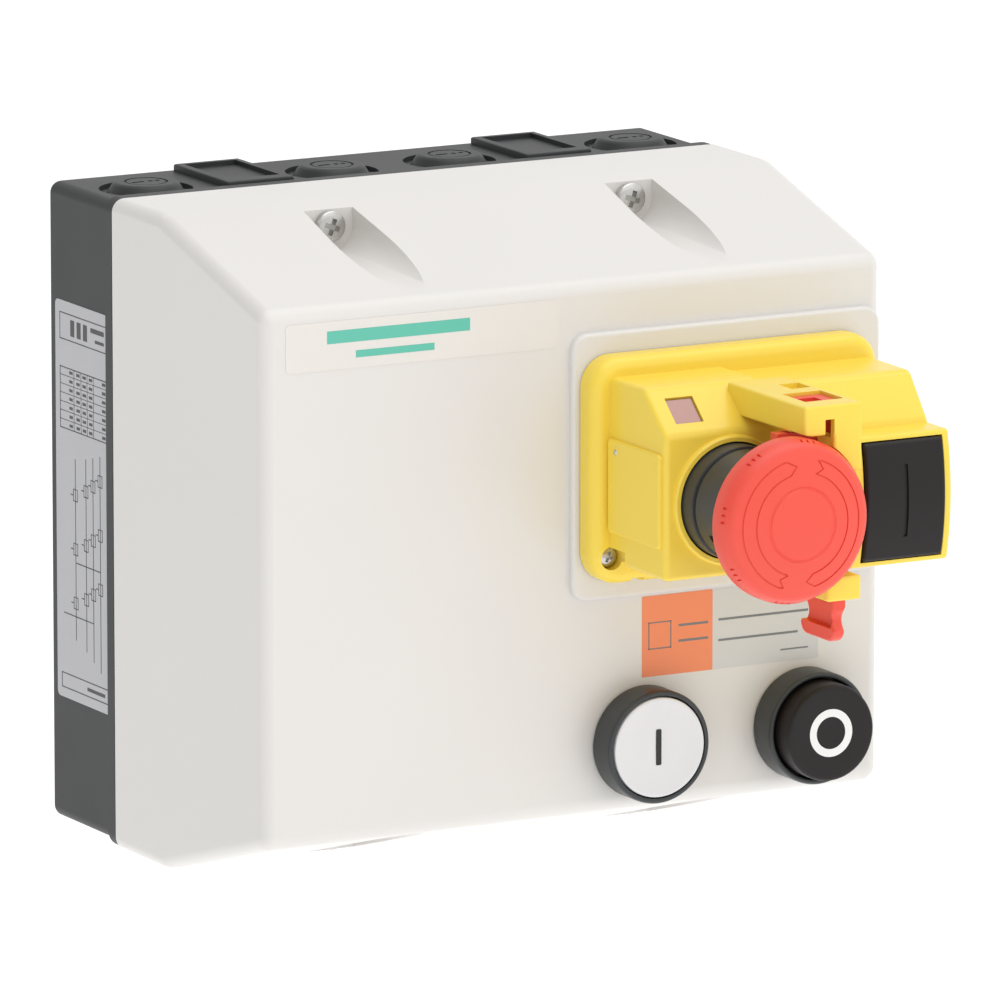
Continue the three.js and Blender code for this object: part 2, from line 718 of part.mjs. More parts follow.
function dinRail() {
  const half = rail.height / 2;
  const neck = half - 5;
  const { backY, depth, thickness, z } = rail;
  const front = backY - depth;
  const outline = outlineOf([
    [front, z + half], [front, z + neck - thickness], [backY - thickness, z + neck - thickness],
    [backY - thickness, z - neck + thickness], [front, z - neck + thickness], [front, z - half],
    [front + thickness, z - half], [front + thickness, z - neck], [backY, z - neck],
    [backY, z + neck], [front + thickness, z + neck], [front + thickness, z + half],
  ]);
  const length = halfWidth - 8;
  return cutBy(
    solid(alongX(outline, -length, length)),
    ...railScrewPlaces.map((place) => rod(screwClearance, front, backY + 1, place)),
  );
}

// ---------------------------------------------------------------- motor circuit breaker
const poles = (middle) => [-1, 0, 1].map((i) => middle + i * polePitch);
const dial = { x: breaker.x, z: rail.z + 20, radius: 4.8 };

// A device body seen from its side: a deep middle with a terminal ledge above and below.
function steppedProfile({ bottom, top, ledgeY, ledgeHeight, frontY: noseY }, backY) {
  return outlineOf([
    [backY, bottom], [ledgeY, bottom], [ledgeY, bottom + ledgeHeight], [noseY, bottom + ledgeHeight],
    [noseY, top - ledgeHeight], [ledgeY, top - ledgeHeight], [ledgeY, top], [backY, top],
  ]);
}

const buttonPlaces = {
  stop: { x: breaker.x - buttonSpread, z: estop.z },
  start: { x: breaker.x + buttonSpread, z: isolator.z },
};

const buttonHalf = 4.5;

function breakerBody() {
  let body = solid(alongX(steppedProfile(breaker, deviceBackY), breaker.left, breaker.right));
  for (const { x, z } of Object.values(buttonPlaces)) {
    const half = buttonHalf + gap;
    const depth = [breaker.frontY - 1, breaker.frontY + 9];
    body = cutBy(body, block([x - half, x + half], depth, [z - half, z + half]));
  }
  body = cutBy(body, rod(dial.radius + gap, breaker.frontY - 1, breaker.frontY + 3, dial));
  for (const x of poles(breaker.x)) {
    body = cutBy(body, linkHole(x, breaker.bottom));
    for (const z of [breaker.bottom, breaker.top]) body = cutBy(body, screwHole(x, z, breaker));
  }
  return body;
}

const terminalScrew = { headRadius: 3, shankRadius: 1.5, inset: 8 };

function terminalPlace(x, edgeZ, device) {
  const inward = edgeZ === device.bottom ? 1 : -1;
  return { x, z: edgeZ + inward * device.ledgeHeight * 0.47 };
}

const screwHole = (x, edgeZ, device) =>
  rod(terminalScrew.headRadius + gap, device.ledgeY - 1, device.ledgeY + 6, terminalPlace(x, edgeZ, device));

function deviceScrew(x, edgeZ, device) {
  const { headRadius, shankRadius } = terminalScrew;
  const place = terminalPlace(x, edgeZ, device);
  return screw(place, device.ledgeY + 3.5, device.ledgeY + 5.5, headRadius, shankRadius, false);
}

function breakerButton({ x, z }) {
  const outline = rectangle(x - buttonHalf, x + buttonHalf, z - buttonHalf, z + buttonHalf);
  return alongY(outline, footY.back + gap, breaker.frontY + 3);
}

function breakerDial() {
  const { x, z, radius } = dial;
  const slot = { halfX: 3.6, halfZ: 0.6, depth: [breaker.frontY - 2, breaker.frontY] };
  return cutBy(
    solid(rod(radius, breaker.frontY - 1.5, breaker.frontY + 2.5, dial, 24)),
    block([x - slot.halfX, x + slot.halfX], slot.depth, [z - slot.halfZ, z + slot.halfZ]),
  );
}

// ---------------------------------------------------------------- links between breaker and contactor
const link = { radius: 1.9, y: -47 };

const linkHole = (x, bottomZ) =>
  new THREE.CylinderGeometry(link.radius + gap, link.radius + gap, 14, 12)
    .rotateX(Math.PI / 2)
    .translate(x, link.y, bottomZ + 1);

// Nested loops: the nearest pair of poles has the shallowest loop, so none cross.
function phaseLink(i) {
  const fromX = poles(breaker.x)[i];
  const toX = poles(contactor.x)[2 - i];
  const lowZ = breaker.bottom - 6 - 6 * i;
  const bend = 5;
  const at = (x, z) => new THREE.Vector3(x, link.y, z);
  const path = new THREE.CurvePath();
  const straight = (from, to) => path.add(new THREE.LineCurve3(from, to));
  const round = (from, corner, to) => path.add(new THREE.QuadraticBezierCurve3(from, corner, to));
  straight(at(fromX, breaker.bottom + 5), at(fromX, lowZ + bend));
  round(at(fromX, lowZ + bend), at(fromX, lowZ), at(fromX - bend, lowZ));
  straight(at(fromX - bend, lowZ), at(toX + bend, lowZ));
  round(at(toX + bend, lowZ), at(toX, lowZ), at(toX, lowZ + bend));
  straight(at(toX, lowZ + bend), at(toX, contactor.bottom + 5));
  const section = new THREE.Shape().absarc(0, 0, link.radius, 0, 2 * Math.PI);
  const options = { extrudePath: path, steps: 24, curveSegments: 2, bevelEnabled: false };
  return new THREE.ExtrudeGeometry(section, options);
}

// ---------------------------------------------------------------- contactor
const coilPocket = {
  left: contactor.left + 4, right: contactor.right - 4, bottom: rail.z - 22, top: rail.z + 22,
};
const carrier = { halfX: 12, halfZ: 12, noseHalfX: 4, noseHalfZ: 6 };

function contactorBase() {
  const { splitY } = contactor;
  const { left, right, bottom, top } = coilPocket;
  return cutBy(
    solid(block([contactor.left, contactor.right], [splitY, deviceBackY], [contactor.bottom, contactor.top])),
    block([left, right], [splitY - 1, deviceBackY - 4], [bottom, top]),
  );
}

function contactorHead() {
  const backY = contactor.splitY - gap;
  let body = solid(alongX(steppedProfile(contactor, backY), contactor.left, contactor.right));
  const room = { x: carrier.halfX + gap, z: carrier.halfZ + gap, frontY: contactor.frontY + 4 };
  body = cutBy(
    body,
    block(
      [contactor.x - room.x, contactor.x + room.x],
      [room.frontY, backY + 1],
      [rail.z - room.z, rail.z + room.z],
    ),
    block(
      [contactor.x - carrier.noseHalfX - gap, contactor.x + carrier.noseHalfX + gap],
      [contactor.frontY - 1, room.frontY + 1],
      [rail.z - carrier.noseHalfZ - gap, rail.z + carrier.noseHalfZ + gap],
    ),
  );
  for (const x of poles(contactor.x)) {
    body = cutBy(body, linkHole(x, contactor.bottom), screwHole(x, contactor.bottom, contactor));
  }
  return body;
}

const coreBackY = deviceBackY - 4 - gap;
const coreFaceY = -33;
const core = { halfWide: 17, sideLeg: 4, barY: coreBackY - 5, halfTall: 8, coilLeg: 5 };
const plate = { backY: coreFaceY - armatureTravel - 0.4, thickness: 4, halfWide: 11.5 };

// An E-shaped laminated core: a back bar and three legs that face the armature.
function fixedCore() {
  const { halfWide, sideLeg, barY, halfTall, coilLeg } = core;
  const halfOutline = [
    [halfWide, coreBackY], [halfWide, coreFaceY], [halfWide - sideLeg, coreFaceY],
    [halfWide - sideLeg, barY], [coilLeg, barY], [coilLeg, coreFaceY],
  ];
  const mirrored = halfOutline.map(([x, y]) => [-x, y]).reverse();
  const outline = outlineOf([...halfOutline, ...mirrored].map(([x, y]) => [contactor.x + x, y]));
  return alongZ(outline, rail.z - halfTall, rail.z + halfTall);
}

function coil() {
  const size = { halfX: 12, halfZ: 16 };
  const leg = core.coilLeg + gap;
  const halfZ = core.halfTall + gap;
  const x = contactor.x;
  const winding = block(
    [x - size.halfX, x + size.halfX],
    [coreFaceY + 1, core.barY - gap],
    [rail.z - size.halfZ, rail.z + size.halfZ],
  );
  const legRoom = block([x - leg, x + leg], [coreFaceY, coreBackY], [rail.z - halfZ, rail.z + halfZ]);
  return cutBy(solid(winding), legRoom);
}

function armature() {
  const { backY, thickness, halfWide } = plate;
  return block(
    [contactor.x - halfWide, contactor.x + halfWide],
    [backY - thickness, backY],
    [rail.z - core.halfTall, rail.z + core.halfTall],
  );
}

function contactCarrier() {
  const backY = plate.backY - plate.thickness - gap;
  const shoulderY = contactor.frontY + 4 + gap;
  const { halfX, halfZ, noseHalfX, noseHalfZ } = carrier;
  return joined(
    block([contactor.x - halfX, contactor.x + halfX], [shoulderY, backY], [rail.z - halfZ, rail.z + halfZ]),
    block(
      [contactor.x - noseHalfX, contactor.x + noseHalfX],
      [contactor.frontY + 0.5, shoulderY + 1],
      [rail.z - noseHalfZ, rail.z + noseHalfZ],
    ),
  );
}

// ---------------------------------------------------------------- earth terminal
function earthBar() {
  const { x, z } = earthScrewPlace;
  return cutBy(
    solid(block([x - 14, x + 14], [-12, -wall - gap], [z - 4, z + 4])),
    rod(screwClearance, -13, 0, earthScrewPlace),
  );
}

// ---------------------------------------------------------------- putting it together
add("back_box", backBox(), charcoal);
add("cover_seal", coverSeal(), rubber);
add("din_rail", dinRail(), zinc);
railScrewPlaces.forEach((place, i) => {
  add(`rail_screw_${i + 1}`, screw(place, rail.backY - rail.thickness - gap, -1.2, 3.4, 1.6), steel);
});
add("earth_bar", earthBar(), brass);
add("earth_screw", screw(earthScrewPlace, -12 - gap, -1.2, 3.4, 1.6), steel);

add("breaker_body", breakerBody(), deviceGrey);
add("breaker_stop_button", breakerButton(buttonPlaces.stop), red);
add("breaker_start_button", breakerButton(buttonPlaces.start), black);
add("breaker_dial", breakerDial(), white);
for (const [row, edgeZ] of [["line", breaker.top], ["load", breaker.bottom]]) {
  poles(breaker.x).forEach((x, i) => {
    add(`breaker_${row}_screw_${i + 1}`, deviceScrew(x, edgeZ, breaker), zinc);
  });
}

add("contactor_base", contactorBase(), deviceGrey);
add("contactor_head", contactorHead(), black);
add("contactor_coil", coil(), coilAmber);
add("contactor_core", fixedCore(), coreSteel);
add("contactor_armature", armature(), coreSteel);
add("contact_carrier", contactCarrier(), white);
poles(contactor.x).forEach((x, i) => {
  add(`contactor_screw_${i + 1}`, deviceScrew(x, contactor.bottom, contactor), zinc);
});
for (const i of [0, 1, 2]) add(`phase_link_${i + 1}`, phaseLink(i), black);

add("cover", cover(), ivory);
for (const place of cornerScrews) {
  const { seatY, headRadius, shankRadius } = coverScrew;
  add(`cover_screw_${cornerName(place)}`, screw(place, seatY - gap, -12, headRadius, shankRadius), steel);
}

add("operator_housing", operatorHousing(), yellow);
housingScrewPlaces.forEach((place, i) => {
  const { seatY, headRadius, shankRadius } = housingScrew;
  add(`housing_screw_${i + 1}`, screw(place, seatY - gap, -112, headRadius, shankRadius), steel);
});
add("indicator_lens", slopeBox(lens.width, lens.height, lens.thickness, 0.5), lensRed);
add("padlock_slide", padlockSlide(), red);
add("estop_collar", estopCollar(), bezelGrey);
add("estop_nut", lockNut(estop), bezelGrey);
add("estop_stem", estopStem(), red);
add("mushroom_head", mushroomHead(), red);
add("isolator_button", isolatorButton(), black);
add("isolator_pusher", isolatorPusher(), black);

for (const [name, place, faceY, radius, colour] of [
  ["start", startButton, bezelFaceY - 0.2, 12.8, white],
  ["stop", stopButton, frontY - 14.9, 12.5, black],
]) {
  add(`${name}_bezel`, buttonBezel(place), bezelGrey);
  add(`${name}_cap`, buttonCap(place, faceY, radius), colour);
  add(`${name}_nut`, lockNut(place), bezelGrey);
  add(`${name}_plunger`, buttonPlunger(place), white);
  add(`${name}_contact_block`, contactBlock(place), deviceGrey);
}

export default part;
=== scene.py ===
import json
import math
from contextlib import contextmanager

import bmesh
import bpy
from mathutils import Matrix, Vector


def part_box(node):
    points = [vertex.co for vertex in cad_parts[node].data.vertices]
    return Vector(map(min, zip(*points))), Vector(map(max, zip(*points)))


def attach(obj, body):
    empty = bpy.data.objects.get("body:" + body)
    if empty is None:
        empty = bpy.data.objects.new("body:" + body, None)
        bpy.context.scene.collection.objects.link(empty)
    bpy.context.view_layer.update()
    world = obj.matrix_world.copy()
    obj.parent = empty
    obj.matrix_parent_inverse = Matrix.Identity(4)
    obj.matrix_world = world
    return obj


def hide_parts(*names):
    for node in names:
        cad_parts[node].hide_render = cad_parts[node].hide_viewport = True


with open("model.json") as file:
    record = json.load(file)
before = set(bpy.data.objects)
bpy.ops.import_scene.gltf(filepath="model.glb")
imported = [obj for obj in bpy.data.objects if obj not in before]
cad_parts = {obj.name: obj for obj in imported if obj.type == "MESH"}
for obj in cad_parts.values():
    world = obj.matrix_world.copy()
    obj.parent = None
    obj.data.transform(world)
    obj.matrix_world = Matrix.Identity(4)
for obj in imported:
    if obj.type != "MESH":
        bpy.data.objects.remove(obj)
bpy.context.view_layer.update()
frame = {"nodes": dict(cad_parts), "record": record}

# Shapes are drawn in millimetres in the CAD frame and scaled to metres when they are placed.
MM = 0.001
WELD_DISTANCE = 0.002
scene = bpy.context.scene


def span(node):
    """Lowest and highest corner of a CAD node, in millimetres."""
    low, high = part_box(node)
    return Vector(low) / MM, Vector(high) / MM


def middle(node):
    low, high = span(node)
    return (low + high) / 2


# ---------- sizes from the frame
cover_low, cover_high = span("cover")
half_width = cover_high.x
half_height = cover_high.z
parting_y = cover_high.y
pad_height = 2.0
front_y = cover_low.y + pad_height
front_height, case_height = 135, 167.5
half_front = half_height * front_height / case_height
level_depth = 26
slope_start_y = parting_y - level_depth
wall = 2.5
slope = math.atan2(half_height - half_front, slope_start_y - front_y)

box_low, box_high = span("back_box")
base_inset = 1.2
box_top = half_height - base_inset
base_front_y = box_low.y
GAP = 0.3

estop = middle("mushroom_head")
estop_axis = (estop.x, 0, estop.z)
start = middle("start_cap")
stop = middle("stop_cap")
bezel_radius = (span("start_bezel")[1].x - span("start_bezel")[0].x) / 2
isolator_low, isolator_high = span("isolator_button")
isolator = middle("isolator_button")
housing_low, housing_high = span("operator_housing")
slide_low, slide_high = span("padlock_slide")
collar_low = span("estop_collar")[0]
screw_nodes = [f"cover_screw_{row}_{side}" for row in ("top", "bottom") for side in ("left", "right")]
housing_screw_nodes = ["housing_screw_1", "housing_screw_2"]


# ---------- mesh helpers
def new_object(name, vertices, faces):
    mesh = bpy.data.meshes.new(name)
    mesh.from_pydata([tuple(v) for v in vertices], [], faces)
    mesh.update()
    made = bpy.data.objects.new(name, mesh)
    scene.collection.objects.link(made)
    face_outwards(made)
    return made


@contextmanager
def edited(piece):
    """Opens a piece's mesh for editing and writes it back."""
    bm = bmesh.new()
    bm.from_mesh(piece.data)
    yield bm
    bm.to_mesh(piece.data)
    bm.free()


def face_outwards(piece):
    with edited(piece) as bm:
        bmesh.ops.recalc_face_normals(bm, faces=bm.faces)


PLACE = {
    "X": lambda a, b, t: (t, a, b),
    "Y": lambda a, b, t: (a, t, b),
    "Z": lambda a, b, t: (a, b, t),
}


def prism(name, outline, axis, low, high):
    """An outline in the plane across the axis, extruded from low to high along it."""
    near, far = ([PLACE[axis](a, b, t) for a, b in outline] for t in (low, high))
    return loft(name, near, far)


def loft(name, near, far):
    """Joins two outlines of as many points, and closes both ends."""
    count = len(near)
    faces = [list(range(count)), list(range(count, 2 * count))]
    for i in range(count):
        after = (i + 1) % count
        faces.append([i, after, after + count, i + count])
    return new_object(name, near + far, faces)


def box(name, x, y, z):
    outline = [(x[0], z[0]), (x[1], z[0]), (x[1], z[1]), (x[0], z[1])]
    return prism(name, outline, "Y", y[0], y[1])


def lathe(name, profile, centre, segments=96):
    """A profile of (radius, y) turned about Y through centre; it closes on itself or on the axis."""
    looped = profile[0] == profile[-1]
    rows = profile[:-1] if looped else profile
    vertices = []
    rings = []
    for radius, y in rows:
        count = 1 if radius == 0 else segments
        rings.append([len(vertices) + i for i in range(count)])
        for i in range(count):
            turn = 2 * math.pi * i / segments
            vertices.append((centre.x + radius * math.cos(turn), y, centre.z + radius * math.sin(turn)))
    faces = []
    pairs = list(zip(rings, rings[1:]))
    if looped:
        pairs.append((rings[-1], rings[0]))
    for first, second in pairs:
        for i in range(segments):
            after = (i + 1) % segments
            corners = [first[i % len(first)], first[after % len(first)]]
            corners += [second[after % len(second)], second[i % len(second)]]
            unique = list(dict.fromkeys(corners))
            if len(unique) > 2:
                faces.append(unique)
    return new_object(name, vertices, faces)


def arc(centre, radius, start_angle, end_angle, steps):
    turns = [math.radians(start_angle + (end_angle - start_angle) * i / steps) for i in range(steps + 1)]
    return [(centre[0] + radius * math.cos(t), centre[1] + radius * math.sin(t)) for t in turns]


def rounded_rectangle(low, high, radius, steps=8):
    (left, bottom), (right, top) = low, high
    x = (right - radius, left + radius, left + radius, right - radius)
    z = (top - radius, top - radius, bottom + radius, bottom + radius)
    outline = []
    for quarter, centre in enumerate(zip(x, z)):
        outline += arc(centre, radius, 90 * quarter, 90 * quarter + 90, steps)
    return outline


def centred_rectangle(half_x, half_z, radius):
    return rounded_rectangle((-half_x, -half_z), (half_x, half_z), radius)


def turned(piece, degrees, centre):
    """Turns a piece drawn about the Y axis, and moves it to centre."""
    spin = Matrix.Rotation(math.radians(degrees), 4, "Y")
    piece.data.transform(Matrix.Translation(centre) @ spin)
    return piece


def bowed(edge_y, bow, t):
    """Y of a shallow parabola that bulges forwards by bow halfway along, at t = 0.5."""
    return edge_y - bow * 4 * t * (1 - t)


def bowed_edge(edge_y, bow, low_z, high_z, steps):
    shares = [i / steps for i in range(steps + 1)]
    return [(bowed(edge_y, bow, t), low_z + (high_z - low_z) * t) for t in shares]


def settle(piece):
    """Applies the piece's modifiers to its mesh."""
    graph = bpy.context.evaluated_depsgraph_get()
    mesh = bpy.data.meshes.new_from_object(piece.evaluated_get(graph))
    piece.modifiers.clear()
    piece.data = mesh
    return piece


def combine(piece, operation, *tools):
    for tool in tools:
        change = piece.modifiers.new(operation.lower(), "BOOLEAN")
        change.operation = operation
        change.solver = "MANIFOLD"
        change.object = tool
        settle(piece)
        bpy.data.objects.remove(tool)
    return piece


def cut(piece, *tools):
    return combine(piece, "DIFFERENCE", *tools)


def join(piece, *tools):
    return combine(piece, "UNION", *tools)


def keep_inside(piece, tool):
    return combine(piece, "INTERSECT", tool)


def copy_of(piece):
    twin = piece.copy()
    twin.data = piece.data.copy()
    scene.collection.objects.link(twin)
    return twin


def round_edges(piece, width, segments, chosen):
    """Rounds the edges that chosen(edge) accepts."""
    with edited(piece) as bm:
        edges = [e for e in bm.edges if len(e.link_faces) == 2 and chosen(e)]
        bmesh.ops.bevel(
            bm, geom=edges, offset=width, segments=segments, profile=0.5,
            affect="EDGES", clamp_overlap=True,
        )
    return piece


def sharp(edge, degrees=28):
    return edge.calc_face_angle(0) > math.radians(degrees)


def clean(piece):
    """Merges doubled points and dissolves flat splits left by the booleans."""
    flat_angle = math.radians(0.4)
    with edited(piece) as bm:
        bmesh.ops.remove_doubles(bm, verts=bm.verts, dist=WELD_DISTANCE)
        bmesh.ops.dissolve_degenerate(bm, dist=WELD_DISTANCE, edges=bm.edges)
        bmesh.ops.dissolve_limit(bm, angle_limit=flat_angle, verts=bm.verts, edges=bm.edges)
    return piece


def finish_piece(piece, body, slot, replaced=None, paint=None, edge=0.0, smooth=32):
    """Scales a piece to metres, shades it, attaches it to its body, gives it the material of its paint or
    else of its slot, and hides the CAD node that it replaces.
    """
    piece.data.transform(Matrix.Scale(MM, 4))
    for polygon in piece.data.polygons:
        polygon.use_smooth = True
    piece.data.set_sharp_from_angle(angle=math.radians(smooth))
    piece.data.materials.clear()
    piece.data.materials.append(MATERIALS[paint or slot])
    if edge:
        add_edge_rounding(piece, edge)
    else:
        even_shading(piece)
    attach(piece, body)
    if replaced:
        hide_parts(replaced)
    return piece


def weld(piece):
    """Joins the loose corners of an imported mesh, so that its edges can be rounded."""
    joined = piece.modifiers.new("weld", "WELD")
    joined.merge_threshold = WELD_DISTANCE * MM


def even_shading(piece):
    """Lets the large flat faces set the normals, so that they shade flat up to their rounded edges."""
    shading = piece.modifiers.new("shading", "WEIGHTED_NORMAL")
    shading.keep_sharp = True
    shading.weight = 100


def add_edge_rounding(piece, width):
    rounding = piece.modifiers.new("edge", "BEVEL")
    rounding.width = width * MM
    rounding.segments = 3
    rounding.limit_method = "ANGLE"
    rounding.angle_limit = math.radians(32)
    even_shading(piece)


# ---------- materials
MATERIALS = {}


class Nodes:
    """A material and a short way to add and link its shader nodes."""

    def __init__(self, name):
        self.material = bpy.data.materials.new(name)
        self.material.use_nodes = True
        MATERIALS[name] = self.material
        self.tree = self.material.node_tree
        self.shader = self.tree.nodes["Principled BSDF"]
        self.place = self.add("ShaderNodeTexCoord").outputs["Object"]

    def add(self, kind, **values):
        node = self.tree.nodes.new(kind)
        for name, value in values.items():
            if hasattr(node, name):
                setattr(node, name, value)
            else:
                node.inputs[name.replace("_", " ")].default_value = value
        return node

    def link(self, source, target):
        self.tree.links.new(source, target)

    def feed(self, name, value):
        """Gives one of the shader's inputs a node's output or a plain value."""
        socket = self.shader.inputs[name]
        if isinstance(value, bpy.types.NodeSocket):
            self.link(value, socket)
        else:
            socket.default_value = value

    def noise(self, scale, detail=3.0, stretch=None):
        texture = self.add("ShaderNodeTexNoise", Scale=scale, Detail=detail)
        place = self.place
        if stretch:
            mapping = self.add("ShaderNodeMapping", Scale=stretch)
            self.link(place, mapping.inputs["Vector"])
            place = mapping.outputs["Vector"]
        self.link(place, texture.inputs["Vector"])
        return texture.outputs["Fac"]

    def waves(self, direction, scale, distortion):
        bands = {"wave_type": "BANDS", "bands_direction": direction}
        texture = self.add("ShaderNodeTexWave", Scale=scale, Distortion=distortion, **bands)
        self.link(self.place, texture.inputs["Vector"])
        return texture.outputs["Fac"]

    def ranged(self, source, low, high, source_low=0.1, source_high=0.9):
        limits = {"From_Min": source_low, "From_Max": source_high, "To_Min": low, "To_Max": high}
        spread = self.add("ShaderNodeMapRange", **limits)
        self.link(source, spread.inputs["Value"])
        return spread.outputs["Result"]

    def mixed(self, factor, first, second):
        mix = self.add("ShaderNodeMix", data_type="RGBA")
        self.link(factor, mix.inputs["Factor"])
        for value, socket in ((first, mix.inputs[6]), (second, mix.inputs[7])):
            if isinstance(value, tuple):
                socket.default_value = (*value, 1)
            else:
                self.link(value, socket)
        return mix.outputs[2]

    def edges(self, width):
        """Near 1 on sharp edges and 0 on flat faces: how far a rounded normal leans from the true one."""
        rounded = self.add("ShaderNodeBevel", Radius=width * MM, samples=4)
        shape = self.add("ShaderNodeNewGeometry")
        match = self.add("ShaderNodeVectorMath", operation="DOT_PRODUCT")
        self.link(rounded.outputs["Normal"], match.inputs[0])
        self.link(shape.outputs["Normal"], match.inputs[1])
        return self.ranged(match.outputs["Value"], 0.6, 0, 0.8, 0.99)

    def bump(self, source, height, strength=1.0, normal=None):
        node = self.add("ShaderNodeBump", Strength=strength, Distance=height * MM)
        self.link(source, node.inputs["Height"])
        if normal:
            self.link(normal, node.inputs["Normal"])
        return node.outputs["Normal"]


def linear(red, green, blue):
    """A colour picked in display values, made linear."""
    def channel(value):
        value /= 255
        return value / 12.92 if value <= 0.04045 else ((value + 0.055) / 1.055) ** 2.4
    return channel(red), channel(green), channel(blue)


def scaled(colour, factor):
    return tuple(min(1.0, c * factor) for c in colour)


def plastic(name, colour, roughness, grain=0.012, specular=0.45):
    """Moulded plastic: fine spark-eroded grain, uneven gloss, faint flow shade and edges painted paler as a
    highlight.
    """
    n = Nodes(name)
    colour = linear(*colour)
    tint = n.mixed(n.ranged(n.noise(14, 2), 0, 1), scaled(colour, 0.985), scaled(colour, 1.015))
    # Painted highlight: the colour turns paler along the edges, standing in for light caught on their
    # rounding.
    painted_edge_highlight = n.mixed(n.edges(0.3), tint, scaled(colour, 1.12))
    n.feed("Base Color", painted_edge_highlight)
    n.feed("Roughness", n.ranged(n.noise(40, 2), roughness - 0.03, roughness + 0.04))
    fine = n.noise(3200, 2)
    undulation = n.bump(n.noise(22, 1), 0.03, 0.1)
    n.feed("Normal", n.bump(fine, grain, 0.6, undulation))
    n.feed("Specular IOR Level", specular)


def metal(name, colour, roughness, stretch=(1, 60, 1), scale=400):
    """Plated or brushed metal: fine drawn lines and uneven dulling."""
    n = Nodes(name)
    colour = linear(*colour)
    lines = n.noise(scale, 3, stretch)
    spots = n.noise(90, 5)
    tint = n.mixed(n.ranged(spots, 0, 1), scaled(colour, 0.86), scaled(colour, 1.05))
    n.feed("Base Color", tint)
    n.feed("Roughness", n.ranged(lines, roughness - 0.07, roughness + 0.1))
    n.feed("Normal", n.bump(lines, 0.01, 0.5))
    n.feed("Metallic", 1)


def laminated(name, colour):
    """Stacked core plates: thin stripes across the stack."""
    n = Nodes(name)
    colour = linear(*colour)
    stripes = n.waves("Z", 700.0, 0.4)
    shade = n.mixed(stripes, scaled(colour, 0.6), colour)
    n.feed("Base Color", shade)
    n.feed("Roughness", n.ranged(n.noise(200, 3), 0.4, 0.6))
    n.feed("Normal", n.bump(stripes, 0.05, 0.6))
    n.feed("Metallic", 1)


def winding(name, colour):
    """A taped coil: overlapping turns of amber tape."""
    n = Nodes(name)
    colour = linear(*colour)
    turns = n.waves("DIAGONAL", 180.0, 1.0)
    shade = n.mixed(turns, scaled(colour, 0.7), scaled(colour, 1.15))
    n.feed("Base Color", shade)
    n.feed("Roughness", n.ranged(n.noise(120, 3), 0.3, 0.5))
    n.feed("Normal", n.bump(turns, 0.15, 0.7))


def printed_film(name, colour, roughness=0.38):
    """Label film: slightly uneven sheet with a soft sheen."""
    n = Nodes(name)
    colour = linear(*colour)
    tint = n.mixed(n.ranged(n.noise(30, 3), 0, 1), scaled(colour, 0.97), scaled(colour, 1.02))
    n.feed("Base Color", tint)
    n.feed("Roughness", n.ranged(n.noise(150, 3), roughness - 0.06, roughness + 0.06))
    n.feed("Normal", n.bump(n.noise(300, 2), 0.01, 0.3))


def clear_film(name):
    """Clear label film over the cover: a faint tint and a sharper gloss."""
    n = Nodes(name)
    tint = n.mixed(n.ranged(n.noise(30, 3), 0, 1), linear(222, 218, 212), linear(226, 222, 216))
    n.feed("Base Color", tint)
    n.feed("Roughness", n.ranged(n.noise(150, 3), 0.2, 0.28))


plastic("ivory_plastic", (221, 218, 214), 0.3, grain=0.006)
plastic("charcoal_plastic", (49, 50, 51), 0.5, grain=0.02)
plastic("yellow_plastic", (245, 215, 80), 0.24, grain=0.006)
plastic("red_plastic", (236, 82, 66), 0.36, grain=0.008)
plastic("black_plastic", (24, 18, 19), 0.5, grain=0.03, specular=0.35)
plastic("bezel_grey", (54, 57, 58), 0.38, grain=0.012)
plastic("white_plastic", (222, 222, 224), 0.3, grain=0.006)
plastic("device_grey", (150, 153, 155), 0.5, grain=0.02)
plastic("lens_red", (184, 142, 134), 0.16, grain=0.004)
plastic("seal_rubber", (45, 46, 48), 0.8, grain=0.03, specular=0.3)
plastic("link_insulation", (40, 40, 42), 0.42)
metal("steel", (205, 204, 200), 0.26)
metal("rail_zinc", (190, 193, 192), 0.4, (60, 1, 1))
metal("brass", (205, 172, 102), 0.3)
laminated("core_steel", (150, 152, 156))
winding("coil_amber", (190, 128, 62))
printed_film("label_paper", (184, 184, 187))
printed_film("label_pale", (206, 206, 206))
printed_film("label_orange", (238, 138, 92))
printed_film("ink_black", (52, 52, 54))
printed_film("ink_grey", (118, 120, 122))
printed_film("ink_teal", (96, 190, 168))
printed_film("mark_black", (28, 26, 27))
printed_film("mark_white", (236, 236, 236))
clear_film("label_clear")


# ---------- cover
CHANNEL_SEAT_RADIUS = 6.9
CHANNEL_MOUTH_RADIUS = 9.8
SCREW_HOLE_RADIUS = 2.4
HOUSING_SCREW_RADIUS = 2


def cover_block(name, inset, rear_y, rounding):
    """The cover's outer form, or its hollow, as a six-sided prism with rounded edges."""
    top = half_height - inset
    shoulder = half_front - inset * 0.85
    nose = front_y + inset
    profile = [
        (rear_y, top), (slope_start_y, top), (nose, shoulder),
        (nose, -shoulder), (slope_start_y, -top), (rear_y, -top),
    ]
    piece = prism(name, profile, "X", -half_width + inset, half_width - inset)

    def not_at_rear(edge):
        return min(v.co.y for v in edge.verts) < rear_y - 1 and edge.calc_face_angle(0) > 0.01

    return round_edges(piece, rounding, 7, not_at_rear)


def channel(centre, margin, up, back_y):
    """A U-shaped trough along Y, open upwards (up = 1) or downwards (up = -1), wider at its mouth."""
    open_z = up * (half_height + 12)
    sections = []
    for radius, y in ((CHANNEL_MOUTH_RADIUS + margin, front_y - 1), (CHANNEL_SEAT_RADIUS + margin, back_y)):
        bend = arc((centre.x, centre.z), radius, 180, 360 if up > 0 else 0, 40)
        outline = [(centre.x - radius, open_z)] + bend + [(centre.x + radius, open_z)]
        sections.append([(x, y, z) for x, z in outline])
    return loft("channel", *sections)


def rod(centre, radius, front, back, segments=48):
    return lathe("rod", [(0, front), (radius, front), (radius, back), (0, back)], centre, segments)


